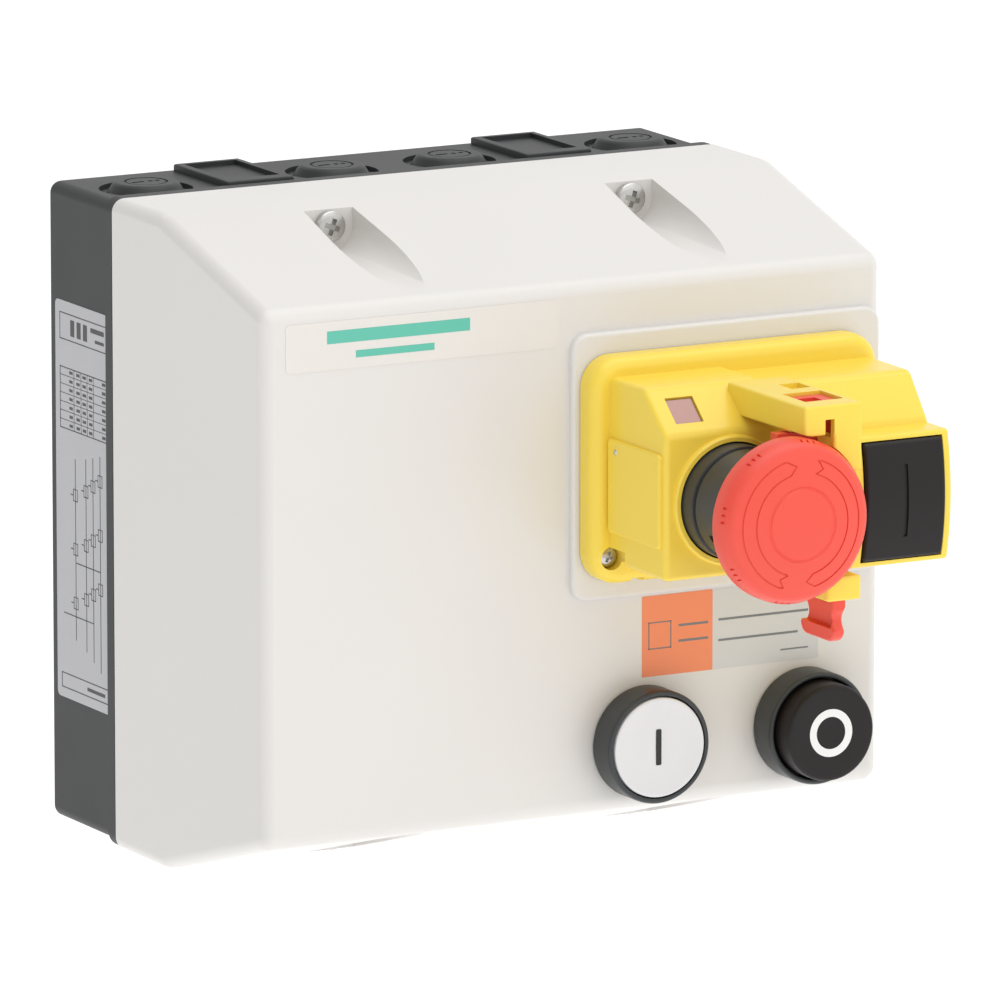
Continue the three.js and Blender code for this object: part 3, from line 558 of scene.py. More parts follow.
def make_cover():
    outer_rounding, inner_rounding = 3.4, 2.2
    seat_depth = 5
    tube_radius = 4.6
    button_hole_radius, pusher_hole_radius = 11.3, 4.4
    shell = cover_block("cover_shell", 0, parting_y, outer_rounding)
    outer = copy_of(shell)
    cut(shell, cover_block("hollow", wall, parting_y + 4, inner_rounding))
    for node in screw_nodes:
        centre = middle(node)
        up = 1 if centre.z > 0 else -1
        seat_y = slope_start_y - seat_depth
        trough = channel(centre, wall, up, seat_y + wall)
        join(shell, keep_inside(trough, copy_of(outer)))
        tube = rod(centre, tube_radius, seat_y + 1, parting_y)
        join(shell, keep_inside(tube, copy_of(outer)))
        cut(shell, channel(centre, 0, up, seat_y))
        cut(shell, rod(centre, SCREW_HOLE_RADIUS, seat_y - 4, parting_y + 3, 24))
    bpy.data.objects.remove(outer)
    soften_channels(shell)
    join(shell, cover_pad())
    through = (front_y - 6, front_y + 6)
    for centre in (start, stop, estop):
        cut(shell, rod(centre, button_hole_radius, *through))
    cut(shell, rod(isolator, pusher_hole_radius, *through))
    for node in housing_screw_nodes:
        cut(shell, rod(middle(node), HOUSING_SCREW_RADIUS, *through, 24))
    clean(shell)
    return finish_piece(shell, "cover", "ivory_plastic", "cover", edge=0.25)


def soften_channels(shell):
    """Rounds the rim where each screw channel runs out through the slope."""
    def on_rim(edge):
        normals = sorted((f.normal for f in edge.link_faces), key=lambda n: abs(n.y))
        across, sloped = normals
        point = (edge.verts[0].co + edge.verts[1].co) / 2
        is_slope = abs(abs(sloped.y) - math.sin(slope)) < 0.03 and abs(sloped.x) < 0.02
        is_wall = abs(across.y) < 0.12
        return is_slope and is_wall and sharp(edge, 8) and abs(point.x) < half_width - 8

    round_edges(shell, 1.6, 5, on_rim)


def cover_pad():
    """The raised field under the yellow housing."""
    margin_left, margin_right = 2.0, 1.5
    margin_below, margin_above = 5, 5.3
    corner = 4.5
    low = (housing_low.x - margin_left, housing_low.z - margin_below)
    high = (half_width - margin_right, housing_high.z + margin_above)
    pad = prism("pad", rounded_rectangle(low, high, corner), "Y", cover_low.y, front_y + 1)
    return round_edges(pad, 1.0, 4, lambda e: all(v.co.y < cover_low.y + 0.01 for v in e.verts))


# ---------- back box
KNOCKOUT_X = [mount["pos_m"][0] / MM for mount in frame["record"]["mounts"] if "entry_top" in mount["name"]]
WALL_HOLE_X, WALL_HOLE_Z = 70, 52
WALL_HOLE_RADIUS = 2.6
INSIDE_SCREW_RADIUS = 1.9
knockout_y = next(m["pos_m"][1] / MM for m in frame["record"]["mounts"] if "entry_top" in m["name"])


def upright_rod(x, y, radius, low, high, segments=64):
    outline = arc((x, y), radius, 0, 360 - 360 / segments, segments - 1)
    return prism("upright", outline, "Z", min(low, high), max(low, high))


def make_back_box():
    half_x = half_width - base_inset
    corner, rim_corner, inner_corner = 3, 4, 2
    rim_depth = 3.8
    knockout_radius, knockout_sunk = 12, 1.2
    body = prism("back_box_shell", centred_rectangle(half_x, box_top, corner), "Y", base_front_y, 0)
    round_edges(body, 1.2, 3, lambda e: all(v.co.y > -0.01 for v in e.verts))
    rim = centred_rectangle(half_width, half_height, rim_corner)
    join(body, prism("rim", rim, "Y", base_front_y, base_front_y + rim_depth))
    hollow = centred_rectangle(half_x - wall, box_top - wall, inner_corner)
    cut(body, prism("hollow", hollow, "Y", base_front_y - 2, -wall))
    for node in screw_nodes:
        add_screw_pillar(body, middle(node))
    for x in KNOCKOUT_X:
        for up in (1, -1):
            ends = up * (box_top - knockout_sunk), up * (box_top + 4)
            cut(body, upright_rod(x, knockout_y, knockout_radius, *ends))
    for node in ("rail_screw_1", "rail_screw_2", "earth_screw"):
        cut(body, rod(middle(node), INSIDE_SCREW_RADIUS, -wall - 1, -0.8, 24))
    for x in (-WALL_HOLE_X, WALL_HOLE_X):
        for z in (-WALL_HOLE_Z, WALL_HOLE_Z):
            cut(body, rod(Vector((x, 0, z)), WALL_HOLE_RADIUS, -wall - 1, 1, 32))
    seal = span("cover_seal")[1] + Vector((GAP, GAP, GAP))
    cut(body, frame_ring("groove", seal.x, seal.z, 1.8, base_front_y - 1, seal.y))
    clean(body)
    return finish_piece(body, "base", "charcoal_plastic", "back_box", edge=0.3)


def frame_ring(name, half_x, half_z, width, front, back):
    ring = prism(name, centred_rectangle(half_x, half_z, 3), "Y", front, back)
    inner = centred_rectangle(half_x - width, half_z - width, 2)
    return cut(ring, prism("inner", inner, "Y", front - 1, back + 1))


def add_screw_pillar(body, centre):
    """A pillar for a cover screw, and the raised block with a sunk panel that covers it outside."""
    up = 1 if centre.z > 0 else -1
    half = 9.3
    top = box_high.z
    raised_y = (base_front_y + 5, -2.2)
    ends = sorted((up * (box_top - wall), up * top))
    raised = box("raised", (centre.x - half, centre.x + half), raised_y, ends)
    round_edges(raised, 0.5, 2, lambda e: all(abs(v.co.z) > top - 0.01 for v in e.verts))
    join(body, raised)
    border = 2
    panel_ends = sorted((up * (top - 1.2), up * (top + 1)))
    panel_y = (raised_y[0] + 4, raised_y[1] - border)
    cut(body, box("panel", (centre.x - half + border, centre.x + half - border), panel_y, panel_ends))
    join(body, rod(centre - Vector((0, 0, up * 1.2)), 4.4, base_front_y + 0.3, -wall / 2))
    cut(body, rod(centre, SCREW_HOLE_RADIUS, base_front_y - 1, -8, 24))


def make_knockout(x, up, number):
    """A knockout's disc: sloped sides, a stepped top, a driver slot and two small dots."""
    base = up * (box_top - 1.6)
    top = up * (box_top + 1.8)
    wide, narrow = (arc((x, knockout_y), radius, 0, 355, 71) for radius in (10.3, 8.2))
    disc = loft(
        f"knockout_{'top' if up > 0 else 'bottom'}_{number}",
        [(a, b, base) for a, b in wide], [(a, b, top) for a, b in narrow],
    )
    round_edges(disc, 0.9, 4, lambda e: all(abs(v.co.z) > abs(top) - 0.01 for v in e.verts))
    step = sorted((up * (box_top + 1.45), up * (box_top + 3)))
    ring_cut = upright_rod(x, knockout_y, 5.6, step[0], step[1])
    join_ring = upright_rod(x, knockout_y, 5.0, base, up * (box_top + 1.75))
    cut(disc, ring_cut)
    join(disc, join_ring)
    cut(disc, box("slot", (x - 3.9, x - 0.6), (knockout_y - 0.6, knockout_y + 0.6), step))
    for offset in (1.2, 3.2):
        cut(disc, upright_rod(x + offset, knockout_y, 0.7, up * (box_top + 1.3), up * (box_top + 3), 24))
    return finish_piece(disc, "base", "charcoal_plastic")


# ---------- screws
def make_screw(node, body):
    """A pan-head screw with a crossed recess and a domed head."""
    low, high = span(node)
    centre = middle(node)
    radius = (high.x - low.x) / 2
    head = radius * 0.62
    dome_height = head * 0.3
    seat = low.y + head
    shank = radius / 2
    turns = (0.35, 0.7, 1.0, 1.25, 1.5)
    profile = [(0, low.y)]
    profile += [(radius * math.sin(t), low.y + dome_height * (1 - math.cos(t))) for t in turns]
    profile += [(radius, seat - 0.3), (radius - 0.15, seat), (shank, seat)]
    profile += [(shank, high.y - shank), (0, high.y)]
    piece = lathe(node + "_detailed", profile, centre, 64)
    reach = radius * 0.62
    half = radius * 0.16
    taper = 0.7
    first_turn = 20
    for turn in (first_turn, first_turn + 90):
        blade = box("blade", (-reach, reach), (-1, head * 0.75), (-half, half))
        for vertex in blade.data.vertices:
            if vertex.co.y > 0:
                vertex.co.x *= taper
        cut(piece, turned(blade, turn, (centre.x, low.y, centre.z)))
    return finish_piece(piece, body, "steel", node)


# ---------- yellow housing
HOUSING_WALL = 2.2
collar_length = 16.5
roof_depth, roof_height = 11.5, 10.2
body_left = collar_low.x - 4.2
body_right = isolator_high.x + 2.1
body_bottom = housing_low.z + 6
body_top = housing_high.z - 4.7
body_front = collar_low.y + collar_length
crease_y = body_front + roof_depth
panel_face = body_left - 1.1
shoulder_z = body_top - roof_height
left_roof = (body_top, crease_y, shoulder_z)
right_roof = (body_top - 1.4, crease_y - 2.4, shoulder_z - 2.6)
flange_front = housing_high.y - 6.7
arm_front = housing_low.y
arm_left = 27.7
arm_right = 44.0
arm_bottom = 37.4
slot_x = (33.5, 36.1)
mushroom_room_back = arm_front + 8.4
tongue_thickness = 3.4


def housing_profile(inset, back_y, roof):
    top, crease, shoulder = roof
    return [
        (back_y, body_bottom + inset), (body_front + inset, body_bottom + inset),
        (body_front + inset, shoulder - inset * 0.4),
        (crease + inset * 0.4, top - inset), (back_y, top - inset),
    ]


def housing_halves(inset, back_y):
    """The body left and right of the arm; the right half's roof lies a little lower."""
    left, right = (housing_profile(inset, back_y, roof) for roof in (left_roof, right_roof))
    return (
        prism("left", left, "X", body_left + inset, slot_x[1]),
        prism("right", right, "X", slot_x[1] - 2, body_right - inset),
    )


def housing_flange():
    low = (housing_low.x, housing_low.z)
    high = (housing_high.x, housing_high.z)
    flange = prism("flange", rounded_rectangle(low, high, 8, 12), "Y", flange_front, housing_high.y)
    return round_edges(flange, 3.2, 6, lambda e: all(v.co.y < flange_front + 0.01 for v in e.verts))


def housing_body():
    rear = housing_high.y - 1

    def outside(edge):
        middle_x = (edge.verts[0].co.x + edge.verts[1].co.x) / 2
        is_end = middle_x < body_left + 0.1 or middle_x > body_right - 0.1
        is_long = abs(edge.verts[0].co.x - edge.verts[1].co.x) > 1
        return min(v.co.y for v in edge.verts) < rear - 1 and sharp(edge) and (is_end or is_long)

    left, right = housing_halves(0, rear)
    for half in (left, right):
        round_edges(half, 1.5, 5, outside)
    return join(left, right)


def isolator_frame():
    """The frame round the isolator button, bowed out at its middle height."""
    bottom = isolator_low.z - 1.6
    top = isolator_high.z + 1.6
    edge_y = body_front - 9
    bow = 2.0
    steps = 24
    curve = bowed_edge(edge_y, bow, bottom, top, steps)
    outline = [(body_front + 1, bottom)] + curve + [(body_front + 1, top)]
    piece = prism("frame", outline, "X", isolator_low.x - 3, body_right + 0.2)
    return round_edges(piece, 0.8, 3, lambda e: sharp(e) and min(v.co.y for v in e.verts) < body_front - 2)


def padlock_arm():
    """The arm above the mushroom and the bracket below it, with the slide's guides cut out."""
    leg_bottom = 28
    bracket_left, bracket_bottom, bracket_top = 34.4, -4.6, 1.5
    cavity_left = 31.5
    cavity_right = slide_high.x + GAP
    cavity_y = (arm_front + 1.9, slide_high.y + GAP)
    guide_front = arm_front + 6.2
    plate_left = slide_high.x - tongue_thickness - GAP
    through_roof = (body_top - 3, body_top + 1)
    through_bracket = (bracket_bottom - 1, bracket_top + 1)
    right = (slot_x[1], arm_right)
    arm = box("arm", (arm_left, arm_right), (arm_front, crease_y - 2), (arm_bottom, body_top))
    join(arm, box("leg", right, (arm_front, cavity_y[1] + 1.5), (leg_bottom, arm_bottom + 1)))
    bracket_x = (bracket_left, arm_right)
    join(arm, box("bracket", bracket_x, (arm_front, body_front + 1), (bracket_bottom, bracket_top)))
    clean(arm)
    round_edges(arm, 0.7, 3, lambda e: sharp(e) and min(v.co.y for v in e.verts) < body_front)
    head_x = (slot_x[1] - 1, plate_left + GAP)
    window_x = (cavity_left, cavity_right - 0.5)
    guide_x = (plate_left, cavity_right)
    cut(
        arm,
        box("cavity", (cavity_left, cavity_right), cavity_y, (arm_bottom - 1, body_top - 2.6)),
        box("guide", guide_x, (guide_front, cavity_y[1]), (leg_bottom - 1, arm_bottom)),
        box("head_way", head_x, (mushroom_room_back, cavity_y[1]), (leg_bottom - 1, arm_bottom + 1)),
        box("slot", slot_x, (arm_front - 1, cavity_y[0] + 1), (leg_bottom, body_top - 3.6)),
        box("window", window_x, (guide_front + 0.3, arm_front + 18), through_roof),
        box("blind_window", (37, 42.6), (arm_front + 23, body_front + 0.5), (body_top - 2, body_top + 1)),
        box("tongue_slot", guide_x, (arm_front + 5.2, cavity_y[1]), through_bracket),
    )
    return arm


def make_housing():
    shell = housing_flange()
    shell.name = "housing_shell"
    join(shell, housing_body(), isolator_frame(), side_panel())
    hole = bezel_radius + 0.4
    lip_y = body_front - 1.0
    lip = [
        (hole, lip_y), (bezel_radius + 1.4, lip_y), (bezel_radius + 1.9, body_front - 0.6),
        (bezel_radius + 2.1, body_front + 1), (hole, body_front + 1), (hole, lip_y),
    ]
    join(shell, lathe("lip", lip, estop, 96))
    arm = cut(padlock_arm(), *housing_halves(HOUSING_WALL, 0))
    cut(shell, *housing_halves(HOUSING_WALL, 0), rod(estop, hole, body_front - 5, body_front + 5, 96))
    join(shell, arm)
    mushroom_radius = span("mushroom_head")[1].x - estop.x
    push = 5
    cut(
        shell,
        rod(estop, mushroom_radius + 0.6, arm_front - 1, mushroom_room_back, 128),
        rod(estop, hole, arm_front - 1, body_front + 0.1, 96),
        box(
            "opening",
            (isolator_low.x - GAP, isolator_high.x + GAP),
            (body_front - 15, isolator_high.y + push + GAP),
            (isolator_low.z - GAP, isolator_high.z + GAP),
        ),
        lens_box("lens_slot", 0.3, -1, HOUSING_WALL * 3),
    )
    cut_screw_recesses(shell)
    clean(shell)
    return finish_piece(shell, "cover", "yellow_plastic", "operator_housing", edge=0.22)


def cut_screw_recesses(shell):
    """The recesses of the two housing screws, and the two notches in the flange's lower edge."""
    boss_radius, recess_radius = 5, 3
    notch_half = 1.8
    front = flange_front - 8
    for node in housing_screw_nodes:
        centre = middle(node)
        boss = rod(centre, boss_radius, front, housing_high.y, 48)
        join(shell, keep_inside(boss, housing_body()))
        cut(shell, rod(centre, recess_radius, front, flange_front + 3.8, 48))
        cut(shell, rod(centre, HOUSING_SCREW_RADIUS, flange_front, housing_high.y + 1, 24))
    for x in (13.5, 41.8):
        notch_y = (flange_front - 1, housing_high.y + 1)
        notch_z = (housing_low.z - 1, housing_low.z + 1.2)
        cut(shell, box("notch", (x - notch_half, x + notch_half), notch_y, notch_z))


def side_panel():
    """The raised panel on the housing's left wall."""
    outline = rounded_rectangle((body_front + 1.5, 6), (body_front + 28, 30), 1.2, 4)
    panel = prism("panel", outline, "X", panel_face, body_left + 1)
    return round_edges(panel, 0.7, 4, lambda e: all(v.co.x < panel_face + 0.01 for v in e.verts))


def lens_box(name, margin, sunk, thickness):
    """A slab lying in the housing's slope where the indicator window is, its face sunk below the slope."""
    low, high = span("indicator_lens")
    half_x = (high.x - low.x) / 2 + margin
    half_v = 3.8 + margin
    slab = box(name, (-half_x, half_x), (sunk, sunk + thickness), (-half_v, half_v))
    tilt = math.atan2(crease_y - body_front, body_top - shoulder_z)
    centre = Vector(((low.x + high.x) / 2, (crease_y + body_front) / 2, (body_top + shoulder_z) / 2))
    slab.data.transform(Matrix.Translation(centre) @ Matrix.Rotation(-tilt, 4, "X"))
    return slab


def make_lens():
    piece = lens_box("indicator_window", 0, 0.5, 1.2)
    round_edges(piece, 0.2, 2, sharp)
    return finish_piece(piece, "cover", "lens_red", "indicator_lens")


def make_rivet():
    """The small pin in the housing's side panel."""
    profile = [(0, -0.5), (0.5, -0.35), (0.75, 0), (0.75, 0.6), (0, 0.6)]
    piece = lathe("panel_pin", profile, Vector((0, 0, 0)), 32)
    turn = Matrix.Rotation(math.radians(-90), 4, "Z")
    piece.data.transform(Matrix.Translation((panel_face, body_front + 23.5, 27)) @ turn)
    face_outwards(piece)
    return finish_piece(piece, "cover", "steel")


# ---------- padlock slide
def make_slide():
    low, high = slide_low, slide_high
    plate_left = high.x - tongue_thickness
    head_left = 31.9
    fork_front = arm_front + 8.7
    foot_radius = 3
    waist_depth = 1.3
    waist = low.z + 4.9
    waist_top, waist_height = waist + 3.2, 5.2
    plate_top = body_top - 3.1
    padlock_radius, padlock_z = 4, -3.5

    def bay(step):
        return waist_depth * math.sin(math.pi * step / 8)

    edge = [(fork_front, plate_top), (fork_front, 4.0), (low.y, 2.0), (low.y, waist_top)]
    edge += [(low.y + bay(t), waist_top - waist_height * t / 8) for t in range(1, 8)]
    edge += arc((low.y + foot_radius, low.z + foot_radius), foot_radius, 180, 270, 8)
    edge += arc((high.y - foot_radius, low.z + foot_radius), foot_radius, 270, 360, 8)
    edge += [(high.y - bay(t), waist_top - waist_height * (1 - t / 8)) for t in range(1, 8)]
    edge += [(high.y, waist_top), (high.y, plate_top)]
    piece = prism("padlock_slide_detailed", edge, "X", plate_left, high.x)
    round_edges(piece, 0.7, 3, lambda e: sharp(e, 60) and max(v.co.z for v in e.verts) < 1)
    fork_y = (fork_front, arm_front + 12.1)
    cap_y = (fork_front, arm_front + 17.6)
    pocket_y = (fork_front + 1.5, fork_front + 5.8)
    join(piece, box("head", (head_left, high.x), (fork_front, high.y), (arm_bottom - 0.4, plate_top)))
    join(piece, box("fork", (low.x, high.x), fork_y, (31.8, arm_bottom - GAP)))
    join(piece, box("cap", (head_left, 42), cap_y, (plate_top - 1, high.z)))
    cut(piece, box("pocket", (33.4, 38.6), pocket_y, (high.z - 3, high.z + 1)))
    recess_y = (low.y + waist_depth, high.y + 1)
    cut(piece, box("recess", (plate_left - 1, plate_left + 1.9), recess_y, (low.z + 3.4, 1)))
    hole = arc(((low.y + high.y) / 2, padlock_z), padlock_radius, 0, 352, 44)
    cut(piece, prism("hole", hole, "X", plate_left - 1, high.x + 1))
    clean(piece)
    return finish_piece(piece, "padlock_slide", "red_plastic", "padlock_slide", edge=0.25)


# ---------- mushroom
BARREL_RADIUS = 10.9


def dome(radius, front, rim):
    """Y of the mushroom's face at a radius: nearly flat, then falling away towards the rim."""
    fall, steepness = 2.6, 3.2
    share = min(1.0, radius / (rim - 0.6))
    return front + fall * share ** steepness


def make_mushroom():
    low, high = span("mushroom_head")
    rim = high.x - estop.x
    front = low.y
    ring_depth = 0.28
    lip_y = front + 3.4
    profile = [(0, front)]
    profile += [(r, dome(r, front, rim)) for r in (3, 6, 8.7)]
    profile += [(r, dome(r, front, rim) + ring_depth) for r in (9, 9.3)]
    profile += [(r, dome(r, front, rim)) for r in (9.6, 11, 13, 15, 16.5, 18, 19)]
    profile += [(19.5, lip_y - 0.45), (19.95, lip_y + 0.1), (20.25, lip_y + 0.9), (rim, lip_y + 2)]
    profile += [(rim, high.y - 1.2), (rim - 0.35, high.y - 0.4), (rim - 1.1, high.y), (rim - 4, high.y)]
    profile += [(rim - 6, high.y - 0.6), (8, high.y - 0.6), (8, high.y), (0, high.y)]
    head = lathe("mushroom", profile, estop, 192)
    for turn in (178.5, -1.5):
        cut(head, arrow_groove(turn, front, rim))
    cut_grips(head, rim, lip_y)
    return finish_piece(head, "mushroom", "red_plastic", "mushroom_head", smooth=40)


def arrow_groove(turn, front, rim):
    """A thin groove round a curved arrow on the mushroom's face."""
    inner, outer, sweep = 12.9, 16.4, 148
    path = arc((0, 0), outer, sweep / 2, -sweep / 2, 48)
    tip = math.radians(-sweep / 2 - 9)
    mean = (inner + outer) / 2
    path.append((mean * math.cos(tip), mean * math.sin(tip)))
    path += arc((0, 0), inner, -sweep / 2, sweep / 2, 48)
    notch = math.radians(sweep / 2 - 7)
    path.append((mean * math.cos(notch), mean * math.sin(notch)))
    half_width_of_line, depth = 0.22, 0.3
    vertices = []
    faces = []
    count = len(path)
    for i, point in enumerate(path):
        before = Vector(path[i - 1])
        after = Vector(path[(i + 1) % count])
        along = (after - before).normalized()
        side = Vector((-along.y, along.x)) * half_width_of_line
        for offset, lift in ((side, -1.0), (-side, -1.0), (-side, depth), (side, depth)):
            x, z = Vector(point) + offset
            vertices.append((x, dome(math.hypot(x, z), front, rim) + lift, z))
    for i in range(count):
        after = (i + 1) % count
        for k in range(4):
            step = (k + 1) % 4
            faces.append([4 * i + k, 4 * i + step, 4 * after + step, 4 * after + k])
    return turned(new_object("arrow", vertices, faces), -turn, estop_axis)


def cut_grips(head, rim, lip_y):
    """Groups of three shallow notches round the mushroom's front edge."""
    groups = 8
    first_turn = 10
    x, y, z = (rim - 0.7, rim + 2), (lip_y - 1.2, lip_y + 1.7), (-0.3, 0.3)
    for group in range(groups):
        for offset in (-5, 0, 5):
            degrees = 360 * group / groups + offset + first_turn
            cut(head, turned(box("grip", x, y, z), degrees, estop_axis))


def make_collar():
    """The fixed collar behind the mushroom: two bands with a step ring, and the barrel."""
    low, high = span("estop_collar")
    bore = 6.4
    outer = bezel_radius
    front = low.y
    step = body_front - 5.8
    back = body_front + 1
    profile = [
        (bore, front + 0.3), (bore + 0.3, front), (outer - 1.3, front), (outer - 0.7, front + 0.3),
        (outer - 0.5, front + 0.9), (outer - 0.5, step - 1.0), (outer - 0.8, step - 0.7),
        (outer - 1.2, step - 0.6), (outer - 1.2, step - 0.1), (outer - 0.5, step),
        (outer - 0.1, step + 0.2), (outer, step + 0.7), (outer, back),
        (BARREL_RADIUS, back), (BARREL_RADIUS, high.y), (bore, high.y), (bore, front + 0.3),
    ]
    collar = lathe("collar", profile, estop, 128)
    notch = box("notch", (-1.1, 1.1), (front - 1, front + 5), (outer - 1.7, outer + 1))
    cut(collar, turned(notch, -118, estop_axis))
    return finish_piece(collar, "cover", "bezel_grey", "estop_collar")


# ---------- isolator button
def make_isolator_button():
    low, high = isolator_low, isolator_high
    edge_y = body_front - 10.2
    bow = edge_y - low.y
    steps = 32
    outline = [(high.y, low.z)] + bowed_edge(edge_y, bow, low.z, high.z, steps) + [(high.y, high.z)]
    button = prism("isolator_button_detailed", outline, "X", low.x, high.x)
    round_edges(button, 0.9, 4, lambda e: sharp(e) and min(v.co.y for v in e.verts) < body_front)
    half_mark = 0.55
    reach = 9.2
    groove_depth = 0.5
    groove = []
    for i in range(steps + 1):
        z = isolator.z - reach + 2 * reach * i / steps
        t = (z - low.z) / (high.z - low.z)
        groove.append((bowed(edge_y, bow, t) + groove_depth, z))
    groove += [(low.y - 2, isolator.z + reach), (low.y - 2, isolator.z - reach)]
    cut(button, prism("mark", groove, "X", isolator.x - half_mark, isolator.x + half_mark))
    return finish_piece(button, "isolator_button", "black_plastic", "isolator_button", smooth=40)


# ---------- start and stop buttons
def make_bezel(name, centre):
    low, high = span(f"{name}_bezel")
    outer = bezel_radius
    face = low.y
    base = front_y - 0.3
    floor = front_y - 2.3
    bore = 9.4
    well = 13.1
    profile = [
        (well, face + 0.5), (well + 0.15, face + 0.15), (well + 0.5, face), (outer - 0.75, face),
        (outer - 0.3, face + 0.2), (outer, face + 0.75), (outer, base - 0.4), (outer - 0.3, base),
        (BARREL_RADIUS, base), (BARREL_RADIUS, high.y), (bore, high.y), (bore, floor), (well, floor),
        (well, face + 0.5),
    ]
    bezel = lathe(f"{name}_bezel_detailed", profile, centre, 144)
    return finish_piece(bezel, "cover", "bezel_grey", f"{name}_bezel")


def make_cap(name, centre, slot, face_profile):
    """A button's cap: its face, the rim that travels in the bezel's well, and the stem behind it."""
    high = span(name)[1]
    well_depth, rim_thickness = 2.6, 3.2
    rim = front_y - well_depth - rim_thickness
    stem = 9.1
    profile = face_profile + [(high.x - centre.x, rim), (stem, rim), (stem, high.y), (0, high.y)]
    return finish_piece(lathe(name + "_detailed", profile, centre, 144), name, slot, name)


def make_start_cap():
    """A white cap, slightly dished, with a bar on its face."""
    low, high = span("start_cap")
    radius = high.x - start.x
    face = low.y
    profile = [(0, face + 0.75), (6, face + 0.68), (9, face + 0.5), (11, face + 0.22), (11.9, face + 0.04)]
    profile += [(12.3, face), (radius - 0.15, face + 0.15), (radius, face + 0.5)]
    make_cap("start_cap", start, "white_plastic", profile)
    half_x, half_z = 0.75, 4.6
    x = (start.x - half_x, start.x + half_x)
    z = (start.z - half_z, start.z + half_z)
    bar = box("start_mark", x, (face + 0.56, face + 1.2), z)
    round_edges(bar, 0.3, 2, lambda e: abs(e.verts[0].co.y - e.verts[1].co.y) > 0.1)
    return finish_piece(bar, "start_cap", "black_plastic", paint="mark_black")


def make_stop_cap():
    """A projecting black cap with a white ring let into its face."""
    low, high = span("stop_cap")
    radius = high.x - stop.x
    face = low.y
    profile = [(0, face + 0.35), (5, face + 0.28), (9, face + 0.1), (radius - 1.3, face)]
    profile += [(radius - 0.6, face + 0.15), (radius - 0.15, face + 0.6), (radius, face + 1.3)]
    make_cap("stop_cap", stop, "black_plastic", profile)
    inner, outer = 4.15, 6.15
    ring_back = face + 0.9
    ring = [(inner, face + 0.26), (outer, face + 0.2), (outer, ring_back), (inner, ring_back)]
    piece = lathe("stop_mark", ring + ring[:1], stop, 96)
    return finish_piece(piece, "stop_cap", "white_plastic", paint="mark_white")


# ---------- labels
def plate(name, low, high, side, face, thickness, radius):
    """A thin film on a face across X or Y, standing proud of it towards the viewer."""
    outline = rounded_rectangle(low, high, radius, 6)
    return prism(name, outline, side, face - thickness, face - 0.01)


def marks(name, rectangles, side, face, thickness=0.04):
    """Printed marks: thin rectangles on a film, as one mesh."""
    vertices = []
    faces = []
    for (a0, b0), (a1, b1) in rectangles:
        first = len(vertices)
        for t in (face - thickness, face + 0.02):
            vertices += [PLACE[side](a, b, t) for a, b in ((a0, b0), (a1, b0), (a1, b1), (a0, b1))]
        faces += [[first + i for i in side_face] for side_face in (
            (0, 1, 2, 3), (4, 5, 6, 7), (0, 1, 5, 4), (1, 2, 6, 5), (2, 3, 7, 6), (3, 0, 4, 7),
        )]
    return new_object(name, vertices, faces)


def outline_marks(low, high, line):
    (a0, b0), (a1, b1) = low, high
    return [
        ((a0, b0), (a1, b0 + line)), ((a0, b1 - line), (a1, b1)),
        ((a0, b0), (a0 + line, b1)), ((a1 - line, b0), (a1, b1)),
    ]


def make_side_label():
    """The rating label on the left side of the box: plain rules, a table grid and a wiring sketch."""
    face = -half_width + base_inset
    low, high = (-35, -50), (-3.5, 53)
    film = plate("side_label", low, high, "X", face, 0.12, 1.5)
    finish_piece(film, "base", "charcoal_plastic", paint="label_paper")
    back, front = -6, -32.5
    line = 0.28
    drawn = outline_marks((front, 43), (back, 50), line)
    drawn += [((front + 1.5, 47.2), (front + 9, 48.4)), ((front + 1.5, 44.8), (front + 6.5, 45.6))]
    for row in range(3):
        drawn.append(((front + 11 + 3.6 * row, 44.4), (front + 13.2 + 3.6 * row, 48.6)))
    table_low, table_high = (front, 20), (back, 36)
    drawn += outline_marks(table_low, table_high, line)
    for row in range(1, 7):
        z = table_low[1] + 16 * row / 7
        drawn.append(((front, z), (back, z + line * 0.6)))
    for column in (7.5, 11, 14.5, 18.5):
        drawn.append(((front + column, table_low[1]), (front + column + line * 0.6, table_high[1])))
    for row in range(7):
        for column in (0.8, 8.2, 11.8, 15.3, 19.3):
            z = table_low[1] + 16 * row / 7 + 0.8
            drawn.append(((front + column, z), (front + column + 1.9, z + 0.75)))
    drawn += wiring_sketch(front, back, line)
    drawn += outline_marks((front, -47.5), (back, -43.5), line)
    drawn += [((front + 2, -46.0), (front + 12, -45.1))]
    ink = marks("side_label_marks", drawn, "X", face - 0.12)
    return finish_piece(ink, "base", "black_plastic", paint="ink_black")


def wiring_sketch(front, back, line):
    """Three vertical lines with boxes and short taps, as a plain circuit sketch."""
    drawn = []
    for i, a in enumerate((front + 4, front + 8, front + 12, front + 18)):
        drawn.append(((a, -40 + 2 * i), (a + line, 16 - i)))
        for k in range(3):
            z = 8 - 14 * k - 2 * i
            drawn += outline_marks((a - 1.1, z), (a + 1.1 + line, z + 3.2), line * 0.8)
            drawn.append(((a + 1.4, z + 1.4), (a + 2.8, z + 1.4 + line)))
    drawn.append(((front + 4, -14), (front + 18, -14 + line)))
    drawn.append(((front + 8, -28), (back - 1.5, -28 + line)))
    return drawn


def make_film_label():
    """A clear film with a plain generic mark."""
    film = plate("name_film", (-81.5, 52), (-5, 64.2), "Y", front_y, 0.12, 1.2)
    finish_piece(film, "cover", "ivory_plastic", paint="label_clear")
    drawn = [((-70, 58.6), (-30, 61.8)), ((-62, 54.6), (-40, 56.4))]
    ink = marks("name_film_marks", drawn, "Y", front_y - 0.12)
    return finish_piece(ink, "cover", "black_plastic", paint="ink_teal")


